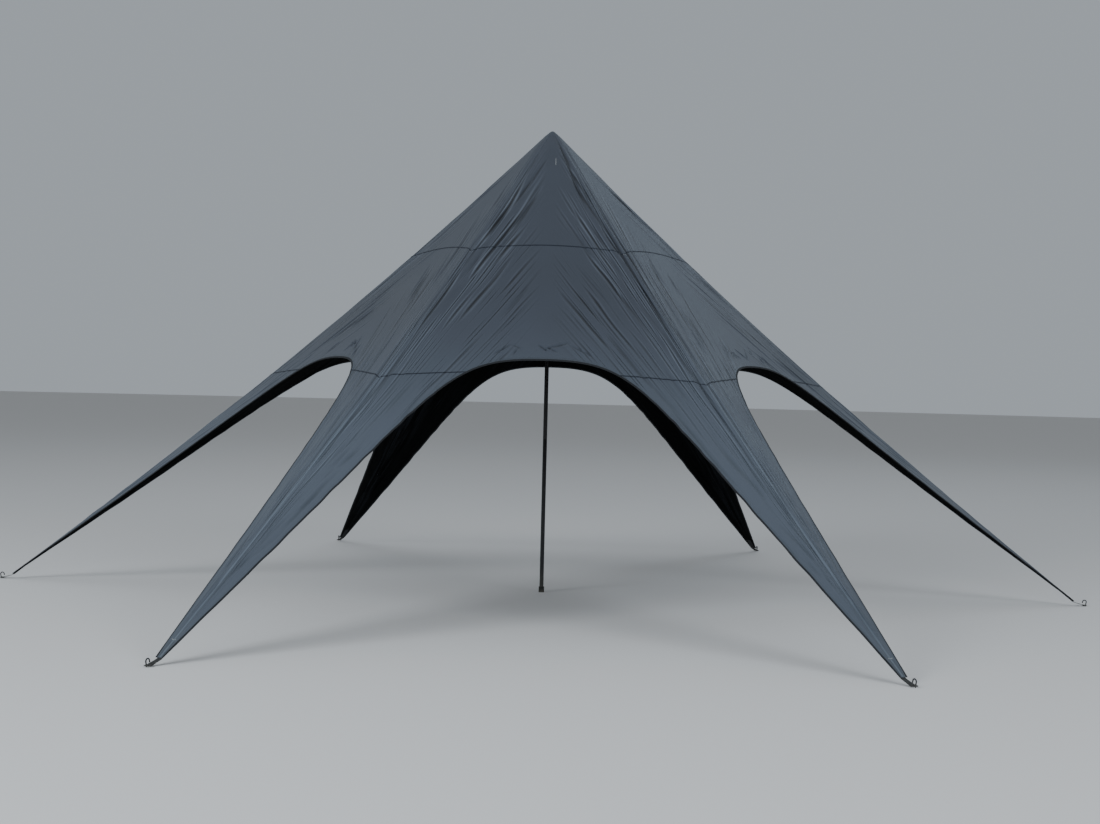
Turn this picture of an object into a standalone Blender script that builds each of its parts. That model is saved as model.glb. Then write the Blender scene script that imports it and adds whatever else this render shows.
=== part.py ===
"""Six-point star tent: a black cloth canopy over one centre pole, drawn out to six pegged corners.

Units are metres and +Z is up. The origin is on the ground under the middle of the pole.
Corner 1 points along +X, and the others follow every 60 degrees, anticlockwise from above.
Bay 1 is the stretch of canopy between corner 1 and corner 2, and its arch opens between their legs.
Left and right are as someone outside sees them who faces the pole.
"""
import math

import bmesh
import bpy
from mathutils import Matrix, Vector

CORNERS = 6
HALF_BAY = math.radians(30)              # from the middle of a bay to the ridge on either side of it

# Canopy: its ridges, and how far each one hangs below a straight line from peak to corner
PEAK_HEIGHT = 3.6
PEAK_ROUNDING = 0.018                    # the cloth lies over the pole's head with about this radius
TIP_RADIUS = 4.15                        # from the pole's middle to the cloth's end
TIP_HEIGHT = 0.042
RIDGE_SAG = 0.108
RIDGE_SAG_SKEW = -0.23                   # below zero, the deepest sag lies nearer to the peak
RIDGE_ROUNDING = 0.074                   # the fold at a ridge is rounded as far as this on either side

# Arch: the free edge of a bay, one curve from its top to the cloth's end at each corner, seen from above
ARCH_TOP_RADIUS = 1.75
ARCH_TOP_HANDLE = 0.666                  # how far the curve runs on straight across its top
LEG_EDGE_HANDLE = 2.2                    # and along the leg's edge, up from the corner
LEG_EDGE_ANGLE = math.radians(10)        # between the leg's edge and its ridge, at the corner
TIP_HALF_WIDTH = 0.025

# Seams: distance from the pole, square to a bay's middle line, at the middle and at the ridges
UPPER_SEAM = (0.918, 0.955)
LOWER_SEAM = (1.83, 1.88)

PEAK_PATCH_RADIUS = 0.06
CLOTH_DROP = 0.005                       # from the outer face straight down to the inner one
FIT_GAP = 0.0003                         # left between pieces that touch

# Centre pole: three tubes that plug into each other, a rubber foot and a round head
POLE_RADIUS = 0.016
POLE_WALL = 0.0015
POLE_JOINTS = (1.2, 2.4)
POLE_TOP = 3.53
PLUG_LENGTH = 0.08
SHOULDER_LENGTH = 0.008                  # where a tube narrows to its plug
FOOT_RADIUS = 0.022
FOOT_HEIGHT = 0.045
FOOT_BASE = 0.008
FOOT_TAPER = 0.001                       # it is narrower by this at its rim
HEAD_RADIUS = 0.042
HEAD_RIM = 0.006                         # height of the head's upright rim under its dome
HEAD_FLANGE_RADIUS = 0.02
ROUND_SEGMENTS = 24
DOME_STEPS = 4
SHARP_ANGLE = math.radians(40)           # between faces of a turned solid, where its shading breaks

# Corner fittings, from the cloth's end out to the ground
STRAP_WIDTH = 0.038
STRAP_THICKNESS = 0.003
STRAP_SEWN_LENGTH = 0.12                 # under the cloth
STRAP_GAP = 0.0024                       # from the cloth down to the flat strap, at the ridge
RING_RADIUS = 0.0225
RING_WIRE_RADIUS = 0.0025
RING_STRAIGHT = 0.005                    # the ring's sides, from its bar to its bow
RING_CORNER_RADIUS = 0.004
RING_HEIGHT = 0.008
EYE_RADIUS = 0.0028
EYE_SIDES = 10
EYE_BEND = (45, -210)                    # its bend round the bar, in degrees from square to the strap
EYE_BEND_STEPS = 9
PEG_FOOT_RADIUS = 4.2465                 # from the pole's middle to the peg, on the ground
PEG_WIRE_RADIUS = 0.004
PEG_LEAN = math.radians(12)              # its top leans away from the tent
PEG_SHAFT = 0.031
PEG_HOOK_RADIUS = 0.014
PEG_HOOK_END = 0.012
PEG_LEVEL_CUT = 0.001                    # height of its upright start, whose end is level with the ground
PEG_BEND_STEPS = 7
RING_BOW_STEPS = 10
RING_CORNER_STEPS = 2
WIRE_RESOLUTION = 2                      # of a ring's and a peg's round section

# How finely the solids are divided
ARCH_TOP_COLUMNS = 3                     # of a bay's half, from its middle to the end of the lower seam
SEAM_COLUMNS = 3                         # and on to the ridge, closer together near it
UPPER_ROWS = 4
UPPER_ROW_CROWDING = 1.5                 # above 1, its rows lie closer together near the peak
MIDDLE_ROWS = 5
LEG_ROWS = 8
SEAM_SEARCH_LIMIT = 1e-9                 # how closely the lower seam's end on the arch is found


def ridge_height(reach):
    """Height of the cloth at a ridge, that far out from the pole's middle."""
    def from_rounding(distance):
        return math.hypot(distance, PEAK_ROUNDING) - PEAK_ROUNDING
    share = from_rounding(reach) / from_rounding(TIP_RADIUS)
    sag = 4 * RIDGE_SAG * share * (1 - share) * (1 + RIDGE_SAG_SKEW * (2 * share - 1))
    return PEAK_HEIGHT + (TIP_HEIGHT - PEAK_HEIGHT) * share - sag


def cloth_height(along, across):
    """Height of the cloth at a place along a ridge from the pole and across from it, seen from above."""
    rounding = min(RIDGE_ROUNDING, math.hypot(along, across) / 2)
    across = abs(across)
    if across < rounding:
        fold = across * across / (2 * rounding)
    else:
        fold = across - rounding / 2
    return ridge_height(along + math.tan(HALF_BAY) * fold)


def leg_point(along, across, side):
    """A point of the cloth in a corner's own axes, where +X runs out along the ridge."""
    across = max(across, FIT_GAP / 2)
    return Vector((along, side * across, cloth_height(along, across)))


def bay_point(radius, angle):
    """A point of the cloth in a bay's own axes, where +X runs out along its middle."""
    side = 1 if angle > 0 else -1
    from_ridge = HALF_BAY - abs(angle)
    corner = leg_point(radius * math.cos(from_ridge), radius * math.sin(from_ridge), -side)
    return Matrix.Rotation(side * HALF_BAY, 3, "Z") @ corner


def arch_edge(share):
    """The arch in a bay's own axes: 0 is its top and 1 the cloth's end at the bay's left-hand ridge."""
    ridge = Vector((math.cos(HALF_BAY), math.sin(HALF_BAY)))
    square = Vector((math.sin(HALF_BAY), -math.cos(HALF_BAY)))
    handle = LEG_EDGE_HANDLE * (square * math.sin(LEG_EDGE_ANGLE) - ridge * math.cos(LEG_EDGE_ANGLE))
    top = Vector((ARCH_TOP_RADIUS, 0))
    tip = ridge * TIP_RADIUS
    a, b, c, d = top, top + Vector((0, ARCH_TOP_HANDLE)), tip + handle, tip + square * TIP_HALF_WIDTH
    rest = 1 - share
    return rest ** 3 * a + 3 * rest ** 2 * share * b + 3 * rest * share ** 2 * c + share ** 3 * d


def seam_radius(seam, angle):
    """Distance from the pole's middle to a seam, at an angle from the bay's middle."""
    middle, ridge = seam
    return (middle + (ridge - middle) * (angle / HALF_BAY) ** 2) / math.cos(angle)


def share_at_lower_seam():
    """Where the lower seam runs out on the arch, found by halving."""
    low, high = 0.0, 1.0
    while high - low > SEAM_SEARCH_LIMIT:
        middle = (low + high) / 2
        edge = arch_edge(middle)
        if edge.length > seam_radius(LOWER_SEAM, math.atan2(edge.y, edge.x)):
            high = middle
        else:
            low = middle
    return low


def half_bay_columns():
    """Angle and outer radius of each column of the middle panel, from the bay's middle to its ridge."""
    corner_share = share_at_lower_seam()
    columns = []
    for step in range(ARCH_TOP_COLUMNS + 1):
        edge = arch_edge(corner_share * step / ARCH_TOP_COLUMNS)
        columns.append((math.atan2(edge.y, edge.x), edge.length))
    corner_angle = columns[-1][0]
    columns[-1] = (corner_angle, seam_radius(LOWER_SEAM, corner_angle) - FIT_GAP / 2)
    for step in range(SEAM_COLUMNS - 1, -1, -1):
        from_ridge = (HALF_BAY - corner_angle) * (step / SEAM_COLUMNS) ** 2
        angle = HALF_BAY - from_ridge
        columns.append((angle, seam_radius(LOWER_SEAM, angle) - FIT_GAP / 2))
    return columns


def bay_columns():
    """The same from ridge to ridge."""
    half = half_bay_columns()
    return [(-angle, radius) for angle, radius in reversed(half[1:])] + half


def upper_panel_grid():
    grid = []
    for angle, _ in bay_columns():
        inner = PEAK_PATCH_RADIUS + FIT_GAP
        outer = seam_radius(UPPER_SEAM, angle) - FIT_GAP / 2
        shares = [(row / UPPER_ROWS) ** UPPER_ROW_CROWDING for row in range(UPPER_ROWS + 1)]
        grid.append([bay_point(inner + (outer - inner) * share, angle) for share in shares])
    return grid


def middle_panel_grid():
    grid = []
    for angle, outer in bay_columns():
        inner = seam_radius(UPPER_SEAM, angle) + FIT_GAP / 2
        shares = [row / MIDDLE_ROWS for row in range(MIDDLE_ROWS + 1)]
        grid.append([bay_point(inner + (outer - inner) * share, angle) for share in shares])
    return grid


def leg_seam_row(side, corner_angle):
    """The upper edge of half a leg, just below the lower seam, from the ridge to the arch."""
    row = []
    for column in range(SEAM_COLUMNS + 1):
        from_ridge = (HALF_BAY - corner_angle) * (column / SEAM_COLUMNS) ** 2
        radius = seam_radius(LOWER_SEAM, HALF_BAY - from_ridge) + FIT_GAP / 2
        row.append(leg_point(radius * math.cos(from_ridge), radius * math.sin(from_ridge), side))
    return row


def leg_half_grid(side):
    """Half a leg in its corner's axes: each row runs from the ridge to the leg's edge."""
    corner_share = share_at_lower_seam()
    to_corner_axes = Matrix.Rotation(-HALF_BAY, 2)
    edges = []
    for row in range(LEG_ROWS + 1):
        edge = to_corner_axes @ arch_edge(corner_share + (1 - corner_share) * row / LEG_ROWS)
        edges.append((edge.x, -edge.y))
    first, last = edges[0], edges[-1]
    ridge_start = seam_radius(LOWER_SEAM, HALF_BAY)
    corner = arch_edge(corner_share)
    grid = [leg_seam_row(side, math.atan2(corner.y, corner.x))]
    for along, across in edges[1:]:
        share = (along - first[0]) / (last[0] - first[0])
        ridge = ridge_start + (TIP_RADIUS - ridge_start) * share
        steps = [(column / SEAM_COLUMNS) ** 2 for column in range(SEAM_COLUMNS + 1)]
        grid.append([leg_point(ridge + (along - ridge) * step, across * step, side) for step in steps])
    return grid


def cloth_solid(name, grid):
    """A mesh of thin cloth: the grid is its outer face, and its inner one lies straight below."""
    mesh = bmesh.new()
    drop = Vector((0, 0, CLOTH_DROP))
    outer = [[mesh.verts.new(point) for point in line] for line in grid]
    inner = [[mesh.verts.new(point - drop) for point in line] for line in grid]
    last_line, last_place = len(grid) - 1, len(grid[0]) - 1
    for i in range(last_line):
        for j in range(last_place):
            for layer in (outer, inner):
                mesh.faces.new((layer[i][j], layer[i + 1][j], layer[i + 1][j + 1], layer[i][j + 1]))
    border = [(i, 0) for i in range(last_line)] + [(last_line, j) for j in range(last_place)]
    border += [(i, last_place) for i in range(last_line, 0, -1)] + [(0, j) for j in range(last_place, 0, -1)]
    for (i, j), (k, m) in zip(border, border[1:] + border[:1]):
        mesh.faces.new((outer[i][j], outer[k][m], inner[k][m], inner[i][j]))
    bmesh.ops.recalc_face_normals(mesh, faces=mesh.faces)
    return finished_mesh(name, mesh)


def finished_mesh(name, mesh):
    data = bpy.data.meshes.new(name)
    mesh.to_mesh(data)
    mesh.free()
    return data


def turned_solid(name, profile):
    """A solid turned about the Z axis from a closed outline of (radius, height), run anticlockwise."""
    mesh = bmesh.new()
    rings = []
    for radius, height in profile:
        if radius == 0:
            rings.append([mesh.verts.new((0, 0, height))] * ROUND_SEGMENTS)
            continue
        angles = [math.tau * step / ROUND_SEGMENTS for step in range(ROUND_SEGMENTS)]
        rings.append([mesh.verts.new((radius * math.cos(a), radius * math.sin(a), height)) for a in angles])
    for lower, upper in zip(rings, rings[1:] + rings[:1]):
        if lower[0] is lower[1] and upper[0] is upper[1]:
            continue
        for step in range(ROUND_SEGMENTS):
            after = (step + 1) % ROUND_SEGMENTS
            corners = (lower[step], lower[after], upper[after], upper[step])
            mesh.faces.new(tuple(dict.fromkeys(corners)))
    bmesh.ops.recalc_face_normals(mesh, faces=mesh.faces)
    data = finished_mesh(name, mesh)
    data.shade_smooth()
    data.set_sharp_from_angle(angle=SHARP_ANGLE)
    return data


def dome(radius, drop):
    """Points over the peak from its middle out to a radius, lowered by a drop."""
    places = [HEAD_RADIUS * step / DOME_STEPS for step in range(DOME_STEPS + 1)]
    if radius > HEAD_RADIUS:
        places.append(radius)
    return [(place, ridge_height(place) - drop) for place in places]


def peak_patch_profile():
    outside = dome(PEAK_PATCH_RADIUS, 0)
    return list(reversed(outside)) + dome(PEAK_PATCH_RADIUS, CLOTH_DROP)


def pole_tube_profile(bottom, top, has_plug):
    """A tube with, if it has a plug, a narrowed end that stands above its top."""
    inside = POLE_RADIUS - POLE_WALL
    if not has_plug:
        return [(POLE_RADIUS, bottom), (POLE_RADIUS, top), (inside, top), (inside, bottom)]
    plug = inside - FIT_GAP
    bore = plug - POLE_WALL
    return [(POLE_RADIUS, bottom), (POLE_RADIUS, top - FIT_GAP), (plug, top - FIT_GAP),
            (plug, top + PLUG_LENGTH), (bore, top + PLUG_LENGTH), (bore, top - SHOULDER_LENGTH),
            (inside, top - 2 * SHOULDER_LENGTH), (inside, bottom)]


def pole_foot_profile():
    bore = POLE_RADIUS + FIT_GAP
    return [(0, 0), (FOOT_RADIUS, 0), (FOOT_RADIUS - FOOT_TAPER, FOOT_HEIGHT), (bore, FOOT_HEIGHT),
            (bore, FOOT_BASE), (0, FOOT_BASE)]


def pole_head_profile():
    plug = POLE_RADIUS - POLE_WALL - FIT_GAP
    top = dome(HEAD_RADIUS, CLOTH_DROP + FIT_GAP)
    rim_height = top[-1][1] - HEAD_RIM
    seat = POLE_TOP + FIT_GAP
    return [(0, POLE_TOP - PLUG_LENGTH), (plug, POLE_TOP - PLUG_LENGTH), (plug, seat),
            (HEAD_FLANGE_RADIUS, seat), (HEAD_FLANGE_RADIUS, seat + HEAD_RIM),
            (HEAD_RADIUS, rim_height)] + list(reversed(top))


def ring_bow_centre():
    """Distance from the pole's middle to the centre of the ring's bow, whose far side bears on the peg."""
    peg_at_ring = PEG_FOOT_RADIUS + (RING_HEIGHT + RING_WIRE_RADIUS) * math.tan(PEG_LEAN)
    bearing = peg_at_ring + PEG_WIRE_RADIUS / math.cos(PEG_LEAN) + FIT_GAP + RING_WIRE_RADIUS
    return bearing - RING_RADIUS


def ring_bar_radius():
    return ring_bow_centre() - RING_STRAIGHT


def arc(centre, radius, start, end, steps):
    """Points of (x, y) along an arc, with its angles in degrees."""
    angles = [math.radians(start + (end - start) * step / steps) for step in range(steps + 1)]
    return [(centre[0] + radius * math.cos(a), centre[1] + radius * math.sin(a)) for a in angles]


def wire(name, points, radius, closed):
    """A round bar along a path, as a curve object."""
    curve = bpy.data.curves.new(name, "CURVE")
    curve.dimensions = "3D"
    curve.bevel_depth = radius
    curve.bevel_resolution = WIRE_RESOLUTION
    curve.use_fill_caps = not closed
    spline = curve.splines.new("POLY")
    spline.points.add(len(points) - 1)
    for place, point in zip(spline.points, points):
        place.co = (*point, 1)
    spline.use_cyclic_u = closed
    return curve


def ring_curve():
    """A D-shaped ring that lies level: a straight bar for the strap and a bow round the peg."""
    bow = (ring_bow_centre(), 0)
    bar = ring_bar_radius()
    inset = RING_RADIUS - RING_CORNER_RADIUS
    outline = arc(bow, RING_RADIUS, -90, 90, RING_BOW_STEPS)
    outline += arc((bar + RING_CORNER_RADIUS, inset), RING_CORNER_RADIUS, 90, 180, RING_CORNER_STEPS)
    outline += arc((bar + RING_CORNER_RADIUS, -inset), RING_CORNER_RADIUS, 180, 270, RING_CORNER_STEPS)
    return wire("corner_ring", [(x, y, RING_HEIGHT) for x, y in outline], RING_WIRE_RADIUS, True)


def peg_curve():
    """The part of a steel peg above the ground: a leaning shaft and a hook back towards the tent."""
    lean = Vector((math.sin(PEG_LEAN), 0, math.cos(PEG_LEAN)))
    inward = Vector((-math.cos(PEG_LEAN), 0, math.sin(PEG_LEAN)))
    foot = Vector((PEG_FOOT_RADIUS, 0, 0))
    shoulder = foot + lean * PEG_SHAFT
    centre = shoulder + inward * PEG_HOOK_RADIUS
    points = [foot, foot + Vector((0, 0, PEG_LEVEL_CUT)), shoulder]
    for step in range(1, PEG_BEND_STEPS + 1):
        turn = math.pi * step / PEG_BEND_STEPS
        points.append(centre + PEG_HOOK_RADIUS * (lean * math.sin(turn) - inward * math.cos(turn)))
    points.append(points[-1] - lean * PEG_HOOK_END)
    return wire("corner_peg", points, PEG_WIRE_RADIUS, False)


def strap_outline():
    """The strap seen from the side: from under the cloth, down to its sewn eye round the ring's bar."""
    start = TIP_RADIUS - STRAP_SEWN_LENGTH
    below = CLOTH_DROP + STRAP_GAP
    upper = [(along, ridge_height(along) - below) for along in (start, (start + TIP_RADIUS) / 2, TIP_RADIUS)]
    lower = [(along, height - STRAP_THICKNESS) for along, height in reversed(upper)]
    bar = Vector((ring_bar_radius(), RING_HEIGHT))
    run = bar - Vector(upper[-1])
    square_to_run = math.degrees(math.atan2(run.x, -run.y))
    bend_start, bend_end = (square_to_run + turn for turn in EYE_BEND)
    return upper + arc(bar, EYE_RADIUS + STRAP_THICKNESS, bend_start, bend_end, EYE_BEND_STEPS) + lower


def eye_outline():
    """The strap's eye, just clear of the ring's bar."""
    bar = (ring_bar_radius(), RING_HEIGHT)
    return arc(bar, EYE_RADIUS, 0, 360 - 360 / EYE_SIDES, EYE_SIDES - 1)


def strap_solid():
    mesh = bmesh.new()
    edges = []
    for loop in (strap_outline(), eye_outline()):
        corners = [mesh.verts.new((x, -STRAP_WIDTH / 2, z)) for x, z in loop]
        edges += [mesh.edges.new((a, b)) for a, b in zip(corners, corners[1:] + corners[:1])]
    bmesh.ops.triangle_fill(mesh, edges=edges, use_beauty=True)
    sides = bmesh.ops.extrude_face_region(mesh, geom=mesh.faces[:])["geom"]
    moved = [item for item in sides if isinstance(item, bmesh.types.BMVert)]
    bmesh.ops.translate(mesh, verts=moved, vec=(0, STRAP_WIDTH, 0))
    bmesh.ops.recalc_face_normals(mesh, faces=mesh.faces)
    return finished_mesh("webbing_strap", mesh)


def finish(name, colour, roughness, metallic=0.0):
    material = bpy.data.materials.new(name)
    material.use_nodes = True
    shader = material.node_tree.nodes["Principled BSDF"]
    shader.inputs["Base Color"].default_value = (*colour, 1)
    shader.inputs["Roughness"].default_value = roughness
    shader.inputs["Metallic"].default_value = metallic
    return material


def place(name, data, material, turn, parent):
    """An object from a mesh or curve, turned about the pole and parented to the tent's empty."""
    if not data.materials:
        data.materials.append(material)
    piece = bpy.data.objects.new(name, data)
    piece.rotation_euler.z = turn
    piece.parent = parent
    bpy.context.collection.objects.link(piece)


def make_canopy(tent, cloth):
    upper = cloth_solid("upper_panel", upper_panel_grid())
    middle = cloth_solid("middle_panel", middle_panel_grid())
    left = cloth_solid("leg_left", leg_half_grid(-1))
    right = cloth_solid("leg_right", leg_half_grid(1))
    for number in range(1, CORNERS + 1):
        corner_turn = (number - 1) * 2 * HALF_BAY
        place(f"upper_panel_{number}", upper, cloth, corner_turn + HALF_BAY, tent)
        place(f"middle_panel_{number}", middle, cloth, corner_turn + HALF_BAY, tent)
        place(f"leg_{number}_left", left, cloth, corner_turn, tent)
        place(f"leg_{number}_right", right, cloth, corner_turn, tent)
    place("peak_patch", turned_solid("peak_patch", peak_patch_profile()), cloth, 0, tent)


def make_pole(tent, steel, rubber, plastic):
    seats = (FOOT_BASE + FIT_GAP,) + POLE_JOINTS
    tops = POLE_JOINTS + (POLE_TOP,)
    for name, bottom, top in zip(("lower", "middle", "upper"), seats, tops):
        profile = pole_tube_profile(bottom, top, top != POLE_TOP)
        place(f"pole_{name}", turned_solid(name, profile), steel, 0, tent)
    place("pole_foot", turned_solid("pole_foot", pole_foot_profile()), rubber, 0, tent)
    place("pole_head", turned_solid("pole_head", pole_head_profile()), plastic, 0, tent)


def make_corners(tent, webbing, steel):
    strap, ring, peg = strap_solid(), ring_curve(), peg_curve()
    for number in range(1, CORNERS + 1):
        turn = (number - 1) * 2 * HALF_BAY
        place(f"corner_strap_{number}", strap, webbing, turn, tent)
        place(f"corner_ring_{number}", ring, steel, turn, tent)
        place(f"corner_peg_{number}", peg, steel, turn, tent)


def main():
    for item in list(bpy.data.objects):
        bpy.data.objects.remove(item)
    tent = bpy.data.objects.new("star_tent", None)
    bpy.context.collection.objects.link(tent)
    cloth = finish("black_cloth", (0.045, 0.052, 0.062), 0.5)
    webbing = finish("black_webbing", (0.012, 0.013, 0.014), 0.8)
    steel = finish("dark_steel", (0.02, 0.021, 0.023), 0.35, 0.8)
    rubber = finish("black_rubber", (0.015, 0.015, 0.015), 0.85)
    plastic = finish("black_plastic", (0.02, 0.02, 0.02), 0.5)
    make_canopy(tent, cloth)
    make_pole(tent, steel, rubber, plastic)
    make_corners(tent, webbing, steel)


main()
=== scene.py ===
"""Finish of a six-point star tent: black coated cloth over one centre pole, pegged out at six corners.

Units are metres and +Z is up. The origin is on the ground under the middle of the pole.
Corner 1 points along +X, and the others follow every 60 degrees, anticlockwise from above.
Bay 1 is the stretch of canopy between corner 1 and corner 2. Places seen from above are
complex numbers, so a turn about the pole is a product.
"""
import math
import random
from collections import namedtuple

import bmesh
import bpy
import numpy as np
from mathutils import Matrix, Vector


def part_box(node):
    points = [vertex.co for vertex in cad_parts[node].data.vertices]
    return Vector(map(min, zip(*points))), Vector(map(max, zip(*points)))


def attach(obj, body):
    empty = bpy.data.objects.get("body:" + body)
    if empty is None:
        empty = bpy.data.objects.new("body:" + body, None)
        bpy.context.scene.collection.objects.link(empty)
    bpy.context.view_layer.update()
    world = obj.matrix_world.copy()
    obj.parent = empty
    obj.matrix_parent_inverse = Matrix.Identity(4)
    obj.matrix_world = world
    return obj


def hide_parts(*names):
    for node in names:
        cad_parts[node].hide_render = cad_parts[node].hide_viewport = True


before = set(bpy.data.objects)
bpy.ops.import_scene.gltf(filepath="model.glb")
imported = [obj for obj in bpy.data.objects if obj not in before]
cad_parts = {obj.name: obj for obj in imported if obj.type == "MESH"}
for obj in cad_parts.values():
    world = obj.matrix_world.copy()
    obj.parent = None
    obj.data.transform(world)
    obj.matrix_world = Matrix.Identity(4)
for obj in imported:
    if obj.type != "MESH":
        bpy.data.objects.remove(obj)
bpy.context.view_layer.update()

CORNERS = 6
NUMBERS = range(1, CORNERS + 1)
FRONT_BAY = 5
FOLDED_CORNER = 6                        # a long fold runs down beside this ridge from the peak
HALF_BAY = math.radians(30)              # from the middle of a bay to the ridge on either side of it

# Canopy, as the solids have it: ridges first, then the arch and the seams
PEAK_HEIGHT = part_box("peak_patch")[1].z
PEAK_ROUNDING = 0.018
TIP_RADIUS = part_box("leg_1_left")[1].x
TIP_HEIGHT = 0.042
RIDGE_SAG = 0.108
RIDGE_SAG_SKEW = -0.23
RIDGE_ROUNDING = 0.074
ARCH_TOP_RADIUS = 1.75
ARCH_TOP_HANDLE = 0.666
LEG_EDGE_HANDLE = 2.2
LEG_EDGE_ANGLE = math.radians(10)
TIP_HALF_WIDTH = 0.025
SEAM_MIDDLES = (0.0, 0.918, 1.83)        # the peak and both seams, from the pole to a bay's middle
SEAM_RIDGES = (0.0, 0.955, 1.88)         # and as far out at its ridges, square to the bay's middle line
CLOTH_THICKNESS = 0.001
PEAK_PATCH_RADIUS = 0.06                 # from above,
PATCH_LIFT = 0.0008                      # of its outer face above the smooth cloth,
PATCH_DEPTH = 0.0048                     # and of its inner face below it

# Waves in the hems of the legs, by the arch's share from its top (0) to the cloth's end (1)
EDGE_WAVE = 0.0015                       # how far the hem pulls in and out
SMALL_WAVE = 0.7                         # of the quicker waves, beside the slower ones
WAVE_TURNS = (97, 161)                   # radians along a whole share, slow and quick
WAVES_START = 0.4
WAVES_FULL = 0.55
WAVES_CALM = 0.12                        # the last share, over which they die out

# How finely the cloth is divided
BAY_COLUMNS = 180                        # from the ridges to the arch's top
BAY_ROWS = 43                            # from the middle line to either corner
MIDDLE_CROWDING = 1.25                   # of the rows towards the middle line
ARCH_TOP_NOTCH = 0.0008                  # how far short of the arch's top the last column stays, as a bearing
LEG_COLUMNS = 60                         # of half a leg
LEG_ROWS = 78
ROW_CROWDING = 1.3                       # of a long row's columns towards the ridge
SHORT_ROW = 0.25                         # a row up to this long has even columns,
LONG_ROW = 0.65                          # and one from this long on has them fully crowded
EDGE_STEPS = 400                         # of half an arch's edge, and of a whole ridge
SEAM_STEPS = 80                          # of a seam from ridge to ridge
RIBBON_PITCH = 0.025                     # between a hem's or a ridge seam's stations,
SEAM_PITCH = 0.007                       # and between those of a seam that crosses the creases

# Modelled creases
CREASE_SEED = 11
SHOULDER = 1.7                           # of a crease's half width, from its valley to its raised sides
SHOULDER_SHARE = 0.42                    # of the valley's depth
CREASE_REACH = 5                         # half widths to where a crease has no effect
CREASE_TAPER = 0.8                       # how bluntly a crease ends

# Creases on each side of each ridge that run towards the corner: the least and the most of each measure
CORNER_CREASES = 56
CORNER_CREASE_STARTS = (0.14, 3.4)       # out along the ridge
CORNER_CREASE_AIMS = (0.1, 0.6)          # short of the cloth's end, on the ridge
CORNER_CREASE_SWERVE = 0.07              # from that aim, either way
CORNER_CREASE_LENGTHS = (0.22, 0.75)
CORNER_CREASE_BOW = 0.012                # either way
CORNER_CREASE_WIDTHS = (0.007, 0.015)
CORNER_CREASE_DEPTHS = (0.15, 0.42)      # of the width
WIDEST_ON_LEG = 0.3                      # of the leg's half width, where a crease ends
BAY_ROOM = 0.94                          # of the way from the ridge to the bay's middle line
LEG_ROOM = 0.95                          # of the way from the ridge to the arch's edge
RIDGE_CROWDING = 1.25                    # of the creases towards the ridge

# Crumples over the top of each arch
ARCH_CRUMPLES = 8
CRUMPLE_FEET = (1.665, 1.715)            # from the pole, where the arch is at its top
CRUMPLE_SPREAD = 0.36                    # either way from the bay's middle line
ARCH_BEND = 0.4                          # how fast the arch's edge runs out beside its top
CRUMPLE_RISES = (0.04, 0.1)
CRUMPLE_SLANT = 0.17                     # either way
CRUMPLE_BOW = 0.006                      # either way
CRUMPLE_WIDTH = 0.0065
CRUMPLE_DEPTH = 0.0055

# Finest creases, which only the material shows, and the painted shade that both kinds of crease have in their
# valleys
PULL_FOCUS = 4.35                        # they run towards this far out along a ridge
MAP_GAP = 10                             # metres of map from one corner's pattern to the next, per radian
PULL_DEPTH = 0.004
PULL_SHADE = 0.92                        # how much darker their valleys are painted, as shade,
FOLD_SHADE = 0.6                         # and how much darker the deepest modelled creases are painted, as shade,
SHADED_DEPTHS = (0.0007, 0.005)          # from where a modelled one is shaded to where it is fully so,
PULL_GLINT = 0.85                        # and how much of a painted highlight colour the raised sides have
WIDE_PULLS = {"Lines": 38.0, "Length": 0.55, "Width": 0.17}
NARROW_PULLS = {"Lines": 96.0, "Length": 0.4, "Width": 0.26}
LINE_WAVER = 1.8                         # of the lines sideways, in lines
LINE_STEP = 7.31                         # from one line to the next in the noise that says where lines end
PULLS_BY_RIDGE = (0.1, 0.04)             # bearings, from where they thin out to where they are dense
PULLS_ABOVE_LEGS = (1.05, 1.6)           # heights, to where they are dense far from a ridge too
PULLS_ABOVE_TIPS = (0.1, 0.35)           # heights between which they begin
PULLS_OFF_MIDDLE = (0.03, 0.25)          # distances from a bay's middle line between which they begin
PULLS_LEFT = 0.22                        # the share of them low on a leg and far from its ridge

# Colours of the painted highlight and painted shade on the creases, of the paler cloth low down, of dust from
# the ground and of worn bare steel, and those of the lights
CREASE_HIGHLIGHT_COLOUR = (0.095, 0.11, 0.135, 1)  # painted highlight on the creases' raised sides
# painted shade in the creases' valleys
CREASE_SHADE_COLOUR = (0, 0, 0, 1)
# the cloth turns towards this colour lower down
LOW_PALE_COLOUR = (0.12, 0.145, 0.175, 1)
DUST_COLOUR = (0.16, 0.15, 0.12, 1)
BARE_STEEL_COLOUR = (0.2, 0.2, 0.21, 1)
FLOOR_COLOUR = (0.62, 0.6, 0.58, 1)
SKY_COLOUR = (0.84, 0.92, 1.0)
BLUE_SKY_COLOUR = (0.62, 0.8, 1.0)
SKY_STRENGTH = 0.42
CLOTH_DUST_HEIGHT = 0.35
CLOTH_UNEVENNESS = 0.07                  # of the cloth's roughness, either way

# Floor, lights and camera
FLOOR_RADIUS = 150.0
LIGHTS_AIM = (0, 0, 1.5)
SENSOR_WIDTH = 36.0
IMAGE_WIDTH = 1100
FOCAL_PIXELS = 1590.0                    # of the image's width
CAMERA_PLACE = (0.173, -12.431, 1.601)
CAMERA_YAW = math.radians(-0.642)
CAMERA_PITCH = math.radians(-0.871)
CAMERA_ROLL = math.radians(1.41)

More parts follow.
